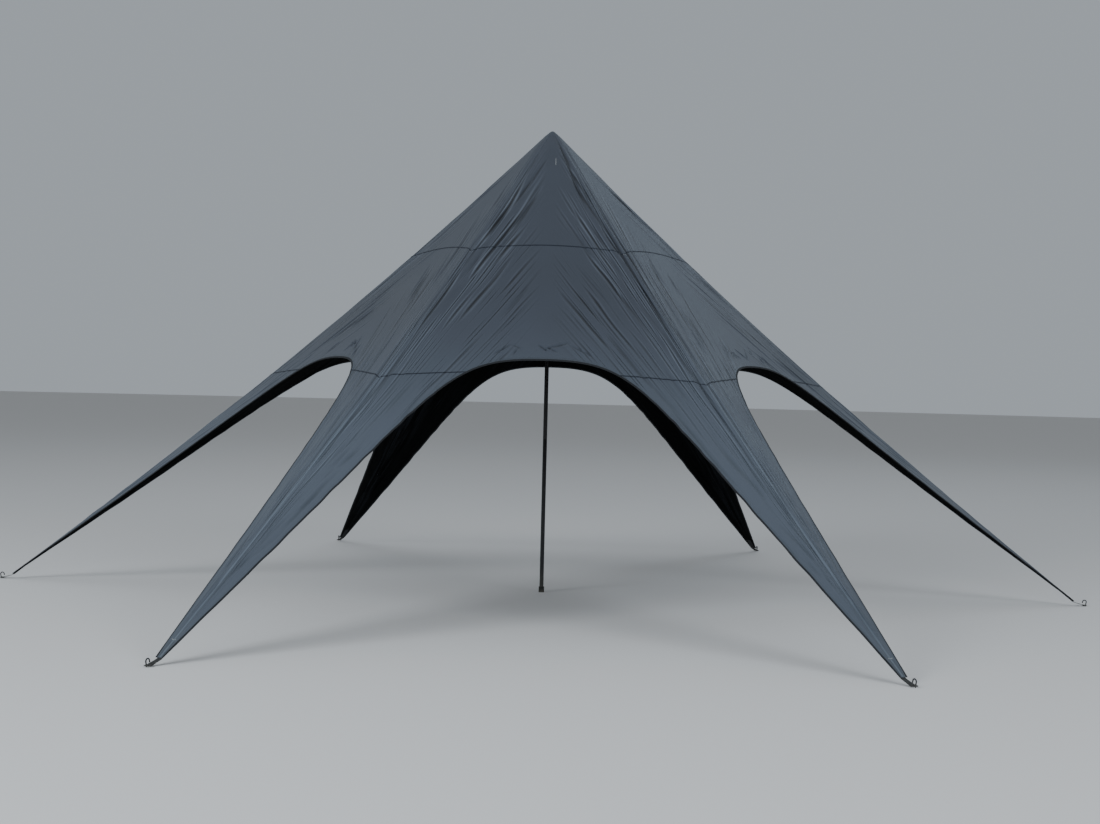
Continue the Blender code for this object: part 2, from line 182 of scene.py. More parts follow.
# Seams, hems and their stitches
FLAT_SEAM_WIDTH = 0.0066
FLAT_SEAM_LIFT = 0.0016
RIDGE_SEAM_WIDTH = 0.013
RIDGE_SEAM_LIFT = 0.0014
HEM_WIDTH = 0.02
BINDING_WIDTH = 0.009
LONG_STITCHES = {"Pitch": 0.009, "Length": 0.0072, "Width": 0.0011, "Height": 0.0009}
SHORT_STITCHES = {"Pitch": 0.004, "Length": 0.0034, "Width": 0.0009, "Height": 0.0009}
TACK_STITCHES = {"Pitch": 0.0034, "Length": 0.005, "Width": 0.0034, "Height": 0.0016}
FRONT_TACK = complex(0.25, 0.035)        # its left end, in the front bay's own axes
FRONT_TACK_LENGTH = 0.05
RIDGE_TACK_REACH = 0.008                 # to either side of the ridge
CORNER_TACK_REACH = 0.014
STITCH_LIFT = 0.0011                     # of every stitch's middle above the cloth
ROW_OFFSETS = {"ridge": 0.32, "hem": 0.8, "seam": 0.3}      # of the strip's width, from its path to a row

Crease = namedtuple("Crease", "start end bow width depth")


def turned(angle):
    return complex(math.cos(angle), math.sin(angle))


def corner_turn(number):
    return turned((number - 1) * 2 * HALF_BAY)


def bay_turn(number):
    return turned((2 * number - 1) * HALF_BAY)


def ridge_height(reach):
    """Height of the cloth at a ridge, that far out from the pole's middle."""
    def from_rounding(distance):
        return np.hypot(distance, PEAK_ROUNDING) - PEAK_ROUNDING

    share = from_rounding(reach) / from_rounding(TIP_RADIUS)
    sag = 4 * RIDGE_SAG * share * (1 - share) * (1 + RIDGE_SAG_SKEW * (2 * share - 1))
    return PEAK_HEIGHT + (TIP_HEIGHT - PEAK_HEIGHT) * share - sag


def nearest_ridge(places):
    """The turn to each place's nearest ridge, as a complex number."""
    return np.exp(2j * HALF_BAY * np.round(np.angle(places) / (2 * HALF_BAY)))


def smooth_height(places):
    """Height of the cloth without its creases."""
    local = places / nearest_ridge(places)
    across = np.abs(local.imag)
    rounding = np.maximum(np.minimum(RIDGE_ROUNDING, np.abs(places) / 2), 1e-6)
    fold = np.where(across < rounding, across ** 2 / (2 * rounding), across - rounding / 2)
    return ridge_height(local.real + math.tan(HALF_BAY) * fold)


def smooth_normals(places):
    step = 0.001
    slope_x = (smooth_height(places + step) - smooth_height(places - step)) / (2 * step)
    slope_y = (smooth_height(places + 1j * step) - smooth_height(places - 1j * step)) / (2 * step)
    normals = np.stack([-slope_x, -slope_y, np.ones_like(slope_x)], axis=-1)
    return normals / np.linalg.norm(normals, axis=-1, keepdims=True)


def edge_waves(share):
    """How far the hem strays from an even curve: only on the leg, and not at its tip."""
    begun = np.clip((share - WAVES_START) / (WAVES_FULL - WAVES_START), 0, 1)
    on_leg = begun * np.clip((1 - share) / WAVES_CALM, 0, 1)
    slow, quick = WAVE_TURNS
    return EDGE_WAVE * on_leg * (np.sin(slow * share) + SMALL_WAVE * np.sin(quick * share + 1))


def arch_edge(share):
    """The arch in a bay's own axes: 0 is its top and 1 the cloth's end at the bay's left-hand ridge."""
    ridge = turned(HALF_BAY)
    square = ridge * -1j
    handle = LEG_EDGE_HANDLE * (square * math.sin(LEG_EDGE_ANGLE) - ridge * math.cos(LEG_EDGE_ANGLE))
    tip = ridge * TIP_RADIUS
    top, top_handle = ARCH_TOP_RADIUS, ARCH_TOP_RADIUS + 1j * ARCH_TOP_HANDLE
    end = tip + square * TIP_HALF_WIDTH
    rest = 1 - share
    even = (rest ** 3 * top + 3 * rest ** 2 * share * top_handle
            + 3 * rest * share ** 2 * (tip + handle) + share ** 3 * end)
    return even + square * edge_waves(share)


def row_place(middle, angle):
    """A place in a bay's own axes, on the row that crosses its middle line at a distance from the pole."""
    ridge = np.interp(middle, SEAM_MIDDLES, SEAM_RIDGES)
    ahead = middle + (ridge - middle) * (angle / HALF_BAY) ** 2
    return ahead * (1 + 1j * np.tan(angle))


def row_through(place):
    """The row that a place between the two seams lies on, as its distance on the middle line."""
    bend = (np.angle(place) / HALF_BAY) ** 2
    slope = (SEAM_RIDGES[2] - SEAM_RIDGES[1]) / (SEAM_MIDDLES[2] - SEAM_MIDDLES[1])
    start = SEAM_RIDGES[1] - SEAM_MIDDLES[1] * slope
    return (place.real - bend * start) / (1 + bend * (slope - 1))


def share_at_lower_seam():
    shares = np.linspace(0, 1, 2001)
    rows = row_through(arch_edge(shares))
    return float(np.interp(SEAM_MIDDLES[2], rows[:1000], shares[:1000]))


ARCH_SHARE = share_at_lower_seam()
LEG_EDGE = np.conj(arch_edge(np.linspace(0, 1, EDGE_STEPS)) / turned(HALF_BAY))      # in a corner's own axes


def leg_half_width(along):
    """Distance from a ridge to the arch's edge, square to the ridge."""
    return np.interp(along, LEG_EDGE.real, LEG_EDGE.imag)


def either_way(draw, most):
    return draw.uniform(-most, most)


def corner_creases(draw, side):
    """Pulls on one side of a ridge, in a corner's own axes. Each runs towards the corner."""
    creases = []
    for _ in range(CORNER_CREASES):
        along = draw.uniform(*CORNER_CREASE_STARTS)
        room = min(BAY_ROOM * math.tan(HALF_BAY) * along, LEG_ROOM * float(leg_half_width(along)))
        start = complex(along, side * room * draw.random() ** RIDGE_CROWDING)
        aim = complex(TIP_RADIUS - draw.uniform(*CORNER_CREASE_AIMS), 0) - start
        heading = aim / abs(aim) * turned(either_way(draw, CORNER_CREASE_SWERVE))
        run = heading * min(draw.uniform(*CORNER_CREASE_LENGTHS), abs(aim))
        while abs((start + run).imag) > leg_half_width((start + run).real):
            run *= 0.8
        leg = float(leg_half_width((start + run).real))
        width = min(draw.uniform(*CORNER_CREASE_WIDTHS), WIDEST_ON_LEG * leg)
        bow = either_way(draw, CORNER_CREASE_BOW)
        depth = width * draw.uniform(*CORNER_CREASE_DEPTHS)
        creases.append(Crease(start, start + run, bow, width, depth))
    return creases


def companion_creases(draw, side):
    """The folds that lie right beside a ridge's seam, deepest where the leg leaves the bays."""
    knee = draw.uniform(1.7, 2.1)
    upper = Crease(complex(0.12, side * 0.02), complex(knee + 0.3, side * 0.03),
                   bow=0.004, width=0.009, depth=draw.uniform(0.003, 0.007))
    lower = Crease(complex(knee - 0.1, side * 0.034), complex(3.7, side * 0.018),
                   bow=-0.006, width=0.009, depth=draw.uniform(0.002, 0.006))
    over_knee = Crease(complex(knee - 0.4, side * 0.065), complex(knee + draw.uniform(0.4, 0.9), side * 0.03),
                       bow=either_way(draw, 0.01), width=0.014, depth=draw.uniform(0.003, 0.008))
    return [upper, lower, over_knee]


def tip_creases():
    """The cloth folds lengthwise where the strap gathers it, so that a ridge ends in a furrow."""
    furrow = Crease(complex(3.25, 0.0), complex(4.5, 0.0), bow=0, width=0.013, depth=0.007)
    left = Crease(complex(3.5, 0.028), complex(4.35, 0.014), bow=0, width=0.008, depth=0.002)
    right = Crease(complex(3.45, -0.028), complex(4.35, -0.014), bow=0, width=0.008, depth=0.002)
    return [furrow, left, right]


def arch_crumples(draw):
    """Short thin creases that slant up from the arch's top, in a bay's own axes."""
    creases = []
    for _ in range(ARCH_CRUMPLES):
        ahead = draw.uniform(*CRUMPLE_FEET)
        aside = either_way(draw, CRUMPLE_SPREAD)
        foot = complex(ahead + ARCH_BEND * aside ** 2, aside)
        rise = draw.uniform(*CRUMPLE_RISES)
        top = foot + complex(-rise, either_way(draw, CRUMPLE_SLANT))
        creases.append(Crease(foot, top, either_way(draw, CRUMPLE_BOW), CRUMPLE_WIDTH, CRUMPLE_DEPTH))
    return creases


def all_creases():
    """Every modelled crease of the canopy, the long fold beside one ridge first."""
    draw = random.Random(CREASE_SEED)
    long_fold = Crease(complex(0.07, -0.004), complex(0.72, -0.085), bow=0.0, width=0.013, depth=0.009)
    found = [turned_crease(long_fold, corner_turn(FOLDED_CORNER))]
    for number in NUMBERS:
        corner = tip_creases()
        for side in (-1, 1):
            corner += corner_creases(draw, side) + companion_creases(draw, side)
        found += [turned_crease(crease, corner_turn(number)) for crease in corner]
        found += [turned_crease(crease, bay_turn(number)) for crease in arch_crumples(draw)]
    return found


def turned_crease(crease, turn):
    return crease._replace(start=crease.start * turn, end=crease.end * turn)


CREASES = all_creases()


def crease_depth(places):
    """How far the creases sink the cloth below its smooth form."""
    depth = np.zeros(places.shape)
    middle = complex(places.real.mean(), places.imag.mean())
    reach = np.abs(places - middle).max()
    for crease in CREASES:
        run = crease.end - crease.start
        if abs((crease.start + crease.end) / 2 - middle) > reach + abs(run):
            continue
        local = (places - crease.start) / run
        within = np.abs(local.imag) * abs(run) < CREASE_REACH * crease.width
        near = (local.real > 0) & (local.real < 1) & within
        share = local.real[near]
        aside = local.imag[near] * abs(run) - 4 * crease.bow * share * (1 - share)
        place = aside / crease.width
        sides = np.exp(-(place - SHOULDER) ** 2) + np.exp(-(place + SHOULDER) ** 2)
        profile = np.exp(-place ** 2) - SHOULDER_SHARE * sides
        depth[near] += crease.depth * np.sin(math.pi * share) ** CREASE_TAPER * profile
    return depth


def smooth_points(places):
    return np.stack([places.real, places.imag, smooth_height(places)], axis=-1)


def cloth_points(places, lift=0.0, sunk=None):
    """Points of the creased cloth, raised square to it by a lift."""
    if sunk is None:
        sunk = crease_depth(places)
    return smooth_points(places) + smooth_normals(places) * (lift - sunk)[..., None]


def slope_lengths():
    """Distances out from the pole, and the cloth's length down a bay's middle to each of them."""
    ahead = np.linspace(0, TIP_RADIUS, EDGE_STEPS)
    height = ridge_height(ahead / math.cos(HALF_BAY))
    steps = np.hypot(np.diff(ahead), np.diff(height))
    return ahead, np.concatenate([[0], np.cumsum(steps)])


AHEAD, SLOPE_LENGTH = slope_lengths()


def new_object(name, mesh, materials):
    piece = bpy.data.objects.new(name, mesh)
    bpy.context.collection.objects.link(piece)
    for material in materials:
        mesh.materials.append(material)
    return piece


def mesh_from(name, points, faces, sharp_angle=40):
    mesh = bpy.data.meshes.new(name)
    mesh.from_pydata(np.asarray(points, float).reshape(-1, 3).tolist(), [], faces)
    mesh.validate()
    mesh.shade_smooth()
    mesh.set_sharp_from_angle(angle=math.radians(sharp_angle))
    return mesh


def facing_out(mesh):
    """The same mesh with its faces pointing out."""
    work = bmesh.new()
    work.from_mesh(mesh)
    bmesh.ops.recalc_face_normals(work, faces=work.faces)
    work.to_mesh(mesh)
    work.free()
    return mesh


def write_uv(mesh, name, places):
    """A UV map from one complex place for each corner of each face."""
    layer = mesh.uv_layers.new(name=name)
    layer.data.foreach_set("uv", np.stack([places.real, places.imag], axis=-1).astype(np.float32).ravel())


def loop_vertices(mesh):
    """The vertex at each corner of each face."""
    found = np.zeros(len(mesh.loops), np.int32)
    mesh.loops.foreach_get("vertex_index", found)
    return found


def map_cloth(mesh):
    """Two UV maps: metres along the threads of each bay, and the bearing from each corner with metres out."""
    points = np.zeros(len(mesh.vertices) * 3, np.float32)
    mesh.vertices.foreach_get("co", points)
    points = points.reshape(-1, 3)[loop_vertices(mesh)].astype(float)
    places = points[:, 0] + 1j * points[:, 1]
    totals = np.zeros(len(mesh.polygons), np.int32)
    mesh.polygons.foreach_get("loop_total", totals)
    starts = np.concatenate([[0], np.cumsum(totals)[:-1]])
    centres = np.repeat(np.add.reduceat(places, starts) / totals, totals)
    bay = nearest_ridge(centres / turned(HALF_BAY)) * turned(HALF_BAY)
    in_bay = places / bay
    write_uv(mesh, "threads", in_bay.imag + 1j * np.interp(in_bay.real, AHEAD, SLOPE_LENGTH))
    ridge = nearest_ridge(centres)
    by_ridge = places / ridge
    bearing = by_ridge.imag / (PULL_FOCUS - by_ridge.real)
    apart = MAP_GAP * np.round(np.angle(ridge), 2)
    write_uv(mesh, "pulls", bearing + 1j * (by_ridge.real + apart))


def column_shares(length, columns):
    """Where the columns of a row lie, from 0 at a ridge to 1. A long row has them closer by the ridge."""
    even = np.linspace(0, 1, columns + 1)
    long = min(max((length - SHORT_ROW) / (LONG_ROW - SHORT_ROW), 0), 1)
    return even * (1 - long / 2 + long / 2 * even ** ROW_CROWDING)


def seam_row(columns):
    """Places along the lower seam in a bay's own axes, from its left-hand ridge to the arch."""
    corner_angle = float(np.angle(arch_edge(ARCH_SHARE)))
    shares = column_shares(abs(row_place(SEAM_MIDDLES[2], HALF_BAY) - arch_edge(ARCH_SHARE)), columns)
    tangents = math.tan(HALF_BAY) + shares * (math.tan(corner_angle) - math.tan(HALF_BAY))
    return row_place(SEAM_MIDDLES[2], np.arctan(tangents))


def grid_quads(index):
    """The quads between the rows of a grid of indices, anticlockwise from above."""
    quads = np.stack([index[:-1, :-1], index[1:, :-1], index[1:, 1:], index[:-1, 1:]], axis=-1)
    return quads.reshape(-1, 4)


def mirrored(left):
    """The rows or columns of a left half with those of the right half before them."""
    return np.concatenate([np.conj(left)[:, :0:-1], left], axis=1)


def bay_grid():
    """Places of a whole bay, in columns from its middle line towards either corner, as its creases run."""
    ridge = turned(HALF_BAY)
    seam = seam_row(LEG_COLUMNS)
    edge = np.concatenate([seam, arch_edge(np.linspace(ARCH_SHARE, 0, EDGE_STEPS))[1:]]) / ridge
    edge_bearings = -edge.imag / (PULL_FOCUS - edge.real)
    bearings = np.linspace(0, edge_bearings[-1] - ARCH_TOP_NOTCH, BAY_COLUMNS + 1)
    corner = edge_bearings[len(seam) - 1]
    bearings[np.abs(bearings - corner).argmin()] = corner
    starts = bearings * PULL_FOCUS / (math.tan(HALF_BAY) + bearings)
    ends = np.interp(bearings, edge_bearings, edge.real)
    shares = np.linspace(0, 1, BAY_ROWS + 1) ** MIDDLE_CROWDING
    along = starts[:, None] + (ends - starts)[:, None] * shares
    whole = mirrored((along - 1j * bearings[:, None] * (PULL_FOCUS - along)) * ridge)
    return whole.ravel(), grid_quads(np.arange(whole.size).reshape(whole.shape))


def leg_grid():
    """Places of a whole leg in its corner's axes, in rows from the lower seam out to the cloth's end."""
    shares = ARCH_SHARE + (1 - ARCH_SHARE) * np.linspace(0, 1, LEG_ROWS + 1)
    edges = np.conj(arch_edge(shares) / turned(HALF_BAY))
    first = np.conj(seam_row(LEG_COLUMNS) / turned(HALF_BAY))
    rows = [first]
    for edge in edges[1:]:
        share = (edge.real - edges[0].real) / (edges[-1].real - edges[0].real)
        ridge = first[0].real + (TIP_RADIUS - first[0].real) * share
        rows.append(ridge + (edge - ridge) * column_shares(abs(edge - ridge), LEG_COLUMNS))
    whole = mirrored(np.array(rows))
    return whole.ravel(), grid_quads(np.arange(whole.size).reshape(whole.shape))


def free_edges(quads):
    """The edges that only one quad has, as pairs of indices in that quad's own direction."""
    edges = np.stack([quads, np.roll(quads, -1, axis=1)], axis=-1).reshape(-1, 2)
    size = int(quads.max()) + 1
    codes, reverse_codes = edges[:, 0] * size + edges[:, 1], edges[:, 1] * size + edges[:, 0]
    return edges[~np.isin(codes, reverse_codes)]


def cloth_sheet(name, places, quads, turn, materials):
    """A closed thin sheet over places: its outer face, its inner one and the rim between them."""
    sunk = crease_depth(places * turn)
    outer = cloth_points(places * turn, 0.0, sunk)
    inner = cloth_points(places * turn, -CLOTH_THICKNESS, sunk)
    below = len(places)
    here, after = free_edges(quads).T
    rim = np.stack([here, here + below, after + below, after], axis=-1)
    halves = np.concatenate([quads[:, [0, 1, 2]], quads[:, [0, 2, 3]]])
    faces = halves.tolist() + (halves[:, ::-1] + below).tolist() + rim.tolist()
    mesh = mesh_from(name, np.concatenate([outer, inner]), faces, 60)
    shaded_underside = np.zeros(len(faces), np.int32)
    shaded_underside[len(halves):2 * len(halves)] = 1
    piece = new_object(name, mesh, materials)
    mesh.polygons.foreach_set("material_index", shaded_underside)
    mesh.attributes.new("sunk", "FLOAT", "POINT").data.foreach_set("value", np.tile(sunk, 2))
    map_cloth(mesh)
    return piece


def sheet_area(places, quads):
    """Area of the smooth cloth over the places, which is the area it was cut to."""
    points = smooth_points(places)[quads]
    crossed = np.cross(points[:, 2] - points[:, 0], points[:, 3] - points[:, 1])
    return float(np.linalg.norm(crossed, axis=-1).sum() / 2)


def line_length(places):
    return float(np.linalg.norm(np.diff(smooth_points(places), axis=0), axis=1).sum())


def even_path(path, pitch):
    """The same plan path with its places a pitch apart."""
    lengths = np.concatenate([[0], np.cumsum(np.abs(np.diff(path)))])
    steps = max(2, round(lengths[-1] / pitch))
    return np.interp(np.linspace(0, lengths[-1], steps + 1), lengths, path)


def left_of(path):
    """The plan direction square to a path on its left, at each of its places."""
    along = np.gradient(path)
    return 1j * along / np.abs(along)


def swept_mesh(name, points):
    """A closed section swept along stations, capped at both ends. Points are (station, corner, axis)."""
    stations, corners = points.shape[:2]
    index = np.arange(stations * corners).reshape(stations, corners)
    after = np.roll(index, -1, axis=1)
    faces = np.stack([index[:-1], index[1:], after[1:], after[:-1]], axis=-1).reshape(-1, 4).tolist()
    faces += [index[0].tolist(), index[-1, ::-1].tolist()]
    return facing_out(mesh_from(name, points, faces))


def ribbon(name, path, section, materials):
    """A closed strip along a plan path, on the cloth. A section is (offset to the left, lift) pairs.

    A second material goes on the faces under the cloth.
    """
    left = left_of(path)
    points = np.stack([cloth_points(path + left * offset, lift) for offset, lift in section], axis=1)
    stations = len(path)
    mesh = swept_mesh(name, points)
    map_cloth(mesh)
    piece = new_object(name, mesh, materials)
    lifts = np.array([lift for _, lift in section])
    under = (lifts + np.roll(lifts, -1)) / 2 < -CLOTH_THICKNESS
    slots = np.concatenate([np.tile(under * (len(materials) - 1), stations - 1), [0, 0]])
    mesh.polygons.foreach_set("material_index", slots.astype(np.int32))
    return piece


def flat_section(width, height):
    """A flat strip with eased edges, a little sunk into the cloth, which it follows on both faces."""
    half, sunk = width / 2, -CLOTH_THICKNESS / 2
    edge, shoulder, middle = 1, 0.9, 0.4
    top = [(half * share, height) for share in (-shoulder, -middle, middle, shoulder)]
    bottom = [(half * share, sunk) for share in (edge, middle, -middle, -edge)]
    return [(-half, height * 0.3)] + top + [(half, height * 0.3)] + bottom


def hem_section():
    """Cloth turned under once at an edge: thicker than one layer, with a full round outer side."""
    return [(HEM_WIDTH, -0.0006), (HEM_WIDTH - 0.001, 0.0006), (0.006, 0.0009), (0.0015, 0.0014),
            (-0.0015, 0.0002), (-0.0015, -0.0016), (0.0015, -0.0028), (0.006, -0.0024),
            (HEM_WIDTH - 0.001, -0.0021), (HEM_WIDTH, -0.0014)]


def binding_section():
    """Narrow tape folded round the hem's edge."""
    return [(BINDING_WIDTH, 0.0004), (BINDING_WIDTH - 0.0008, 0.0019), (0.001, 0.0024), (-0.0022, 0.0008),
            (-0.003, -0.0008), (-0.0022, -0.0024), (0.001, -0.0038), (BINDING_WIDTH - 0.0008, -0.0034),
            (BINDING_WIDTH, -0.002)]


def edge_path():
    """The free edge of a bay in its own axes, from tip to tip by way of the arch's top."""
    left = arch_edge(np.linspace(0, 1, EDGE_STEPS))
    return np.concatenate([np.conj(left)[:0:-1], left])


def whole_row(middle):
    """A row from ridge to ridge."""
    return row_place(middle, np.linspace(-HALF_BAY, HALF_BAY, SEAM_STEPS))


def seam_paths(number):
    """The seams across a bay in its own axes, by name. The arch cuts the lower one in two."""
    corner_angle = float(np.angle(arch_edge(ARCH_SHARE)))
    left = row_place(SEAM_MIDDLES[2], np.linspace(HALF_BAY, corner_angle, SEAM_STEPS // 2))
    return [
        (f"upper_seam_{number}", whole_row(SEAM_MIDDLES[1])),
        (f"lower_seam_{number}_left", left),
        (f"lower_seam_{number}_right", np.conj(left)[::-1]),
    ]


def ridge_path():
    """A ridge's seam in its corner's axes, from under the peak patch to just short of the cloth's end."""
    overlap, short = 0.01, 0.004
    return np.linspace(PEAK_PATCH_RADIUS - overlap, TIP_RADIUS - short, EDGE_STEPS).astype(complex)


def polar_cap(name, radius, rings, segments, material):
    """A round patch over the peak that follows the cloth, with a flat rim."""
    angles = np.linspace(0, math.tau, segments, endpoint=False)
    reach = radius * np.linspace(0, 1, rings + 1)[1:]
    places = reach[:, None] * np.exp(1j * angles)[None, :]
    top = smooth_points(places) + np.array([0, 0, PATCH_LIFT])
    bottom = top[::-1] - np.array([0, 0, PATCH_DEPTH + PATCH_LIFT])
    middle_top = np.array([[0, 0, PEAK_HEIGHT + PATCH_LIFT]])
    middle_bottom = np.array([[0, 0, PEAK_HEIGHT - PATCH_DEPTH]])
    points = np.concatenate([middle_top, top.reshape(-1, 3), bottom.reshape(-1, 3), middle_bottom])
    ring = np.arange(segments)
    after = np.roll(ring, -1)
    steps = list(zip(ring, after))
    faces = [[0, 1 + a, 1 + b] for a, b in steps]
    for step in range(2 * rings - 1):
        here = 1 + step * segments
        beyond = here + segments
        faces += [[here + a, beyond + a, beyond + b, here + b] for a, b in steps]
    last = 1 + (2 * rings - 1) * segments
    faces += [[last + b, last + a, len(points) - 1] for a, b in steps]
    mesh = facing_out(mesh_from(name, points, faces))
    map_cloth(mesh)
    return new_object(name, mesh, [material])


def stitch_guides(name, lines):
    """A mesh of loose edges along lines of stitches, with the way up at each point."""
    points, ups, edges = [], [], []
    for path in lines:
        first = len(points)
        points += cloth_points(path, STITCH_LIFT).tolist()
        ups += smooth_normals(path).tolist()
        edges += [(first + step, first + step + 1) for step in range(len(path) - 1)]
    mesh = bpy.data.meshes.new(name)
    mesh.from_pydata(points, edges, [])
    mesh.attributes.new("up", "FLOAT_VECTOR", "POINT").data.foreach_set("vector", np.ravel(ups))
    return new_object(name, mesh, [])


def link(tree, source, target):
    tree.links.new(source, target)


def add_node(tree, kind, inputs=None, **settings):
    """A node with its settings, and its inputs set to values or linked to other nodes' outputs."""
    node = tree.nodes.new(kind)
    for name, value in settings.items():
        setattr(node, name, value)
    for key, value in (inputs or {}).items():
        if isinstance(value, bpy.types.NodeSocket):
            link(tree, value, node.inputs[key])
        else:
            node.inputs[key].default_value = value
    return node


def stitch_tree():
    """Geometry Nodes that lay thread stitches end to end along guide lines."""
    tree = bpy.data.node_groups.new("thread_stitches", "GeometryNodeTree")
    face = tree.interface
    face.new_socket("Guides", in_out="INPUT", socket_type="NodeSocketGeometry")
    for label in ("Pitch", "Length", "Width", "Height"):
        face.new_socket(label, in_out="INPUT", socket_type="NodeSocketFloat")
    face.new_socket("Thread", in_out="INPUT", socket_type="NodeSocketMaterial")
    face.new_socket("Stitches", in_out="OUTPUT", socket_type="NodeSocketGeometry")
    given = tree.nodes.new("NodeGroupInput").outputs
    curves = add_node(tree, "GeometryNodeMeshToCurve", {"Mesh": given["Guides"]})
    spaced = add_node(tree, "GeometryNodeResampleCurve",
                      {"Curve": curves.outputs["Curve"], "Length": given["Pitch"]}, mode="LENGTH")
    tangent = tree.nodes.new("GeometryNodeInputTangent")
    up = add_node(tree, "GeometryNodeInputNamedAttribute", {"Name": "up"}, data_type="FLOAT_VECTOR")
    along = add_node(tree, "FunctionNodeAlignRotationToVector",
                     {"Vector": tangent.outputs["Tangent"]}, axis="X")
    level = add_node(tree, "FunctionNodeAlignRotationToVector",
                     {"Rotation": along.outputs["Rotation"], "Vector": up.outputs["Attribute"]},
                     axis="Z", pivot_axis="X")
    bead = add_node(tree, "GeometryNodeMeshUVSphere", {"Segments": 4, "Rings": 2, "Radius": 0.5})
    size = add_node(tree, "ShaderNodeCombineXYZ",
                    {"X": given["Length"], "Y": given["Width"], "Z": given["Height"]})
    stitch = add_node(tree, "GeometryNodeTransform",
                      {"Geometry": bead.outputs["Mesh"], "Scale": size.outputs["Vector"]})
    placed = add_node(tree, "GeometryNodeInstanceOnPoints",
                      {"Points": spaced.outputs["Curve"], "Instance": stitch.outputs["Geometry"],
                       "Rotation": level.outputs["Rotation"]})
    real = add_node(tree, "GeometryNodeRealizeInstances", {"Geometry": placed.outputs["Instances"]})
    finished = add_node(tree, "GeometryNodeSetMaterial",
                        {"Geometry": real.outputs["Geometry"], "Material": given["Thread"]})
    end = tree.nodes.new("NodeGroupOutput")
    link(tree, finished.outputs["Geometry"], end.inputs["Stitches"])
    return tree


def sewn(name, lines, tree, thread, sizes):
    """Stitches along plan lines on the cloth, as a plain mesh."""
    guide = stitch_guides(name + "_guide", lines)
    modifier = guide.modifiers.new("stitches", "NODES")
    modifier.node_group = tree
    sockets = {item.name: item.identifier for item in tree.interface.items_tree if item.in_out == "INPUT"}
    for label, value in sizes.items():
        modifier[sockets[label]] = value
    modifier[sockets["Thread"]] = thread
    made = guide.evaluated_get(bpy.context.evaluated_depsgraph_get())
    mesh = bpy.data.meshes.new_from_object(made)
    mesh.name = name
    guide.modifiers.remove(modifier)
    bpy.data.objects.remove(guide)
    mesh.shade_smooth()
    return new_object(name, mesh, [])


def beside(path, offset):
    return path + left_of(path) * offset


def both_sides(path, offset):
    return [beside(path, -offset), beside(path, offset)]


def stitch_lines():
    """Where the stitches run on the cloth, by the name of the piece they make."""
    edge = even_path(edge_path(), RIBBON_PITCH)
    ridge = even_path(ridge_path(), RIBBON_PITCH)
    ridge_rows = both_sides(ridge, RIDGE_SEAM_WIDTH * ROW_OFFSETS["ridge"])
    hem_row = beside(edge, HEM_WIDTH * ROW_OFFSETS["hem"])
    lines = {"ridge_stitches": [], "hem_stitches": [], "seam_stitches": []}
    for number in NUMBERS:
        lines["ridge_stitches"] += [row * corner_turn(number) for row in ridge_rows]
        lines["hem_stitches"].append(hem_row * bay_turn(number))
        for _, path in seam_paths(number):
            rows = both_sides(even_path(path, SEAM_PITCH), FLAT_SEAM_WIDTH * ROW_OFFSETS["seam"])
            lines["seam_stitches"] += [row * bay_turn(number) for row in rows]
    return lines


def turned_mesh(name, profile, segments=64, sharp_angle=35):
    """A closed solid turned about the Z axis from an outline of (radius, height)."""
    angles = np.linspace(0, math.tau, segments, endpoint=False)
    work = bmesh.new()
    rings = []
    for radius, height in profile:
        if radius == 0:
            rings.append([work.verts.new((0, 0, height))] * segments)
        else:
            places = radius * np.exp(1j * angles)
            rings.append([work.verts.new((place.real, place.imag, height)) for place in places])
    for lower, upper in zip(rings, rings[1:] + rings[:1]):
        if lower[0] is lower[1] and upper[0] is upper[1]:
            continue
        for step in range(segments):
            after = (step + 1) % segments
            work.faces.new(tuple(dict.fromkeys((lower[step], lower[after], upper[after], upper[step]))))
    bmesh.ops.recalc_face_normals(work, faces=work.faces)
    mesh = bpy.data.meshes.new(name)
    work.to_mesh(mesh)
    work.free()
    mesh.shade_smooth()
    mesh.set_sharp_from_angle(angle=math.radians(sharp_angle))
    return mesh


def tube_mesh(name, points, radii, closed, sides=16):
    """A round bar along points that lie in one plane, with a radius at each; its ends are capped."""
    points = np.array(points, float)
    around = np.roll(points, -1, axis=0) - np.roll(points, 1, axis=0)
    if not closed:
        around[0], around[-1] = points[1] - points[0], points[-1] - points[-2]
    along = around / np.linalg.norm(around, axis=1, keepdims=True)
    spread = np.cross(along[:-1], along[1:]).sum(axis=0)
    square = spread / np.linalg.norm(spread)
    other = np.cross(along, square)
    turns = np.linspace(0, math.tau, sides, endpoint=False)
    rings = (points[:, None] + np.array(radii)[:, None, None]
             * (np.cos(turns)[None, :, None] * square + np.sin(turns)[None, :, None] * other[:, None]))
    index = np.arange(len(points) * sides).reshape(len(points), sides)
    ahead = np.roll(index, -1, axis=0) if closed else index[1:]
    here = index if closed else index[:-1]
    faces = np.stack([here, ahead, np.roll(ahead, -1, axis=1), np.roll(here, -1, axis=1)], axis=-1)
    faces = faces.reshape(-1, 4).tolist()
    if not closed:
        faces += [index[0].tolist(), index[-1, ::-1].tolist()]
    return facing_out(mesh_from(name, rings, faces))


def arc(centre, radius, start, end, steps):
    """Places along an arc, with its angles in degrees."""
    angles = np.radians(np.linspace(start, end, steps + 1))
    return centre + radius * np.exp(1j * angles)


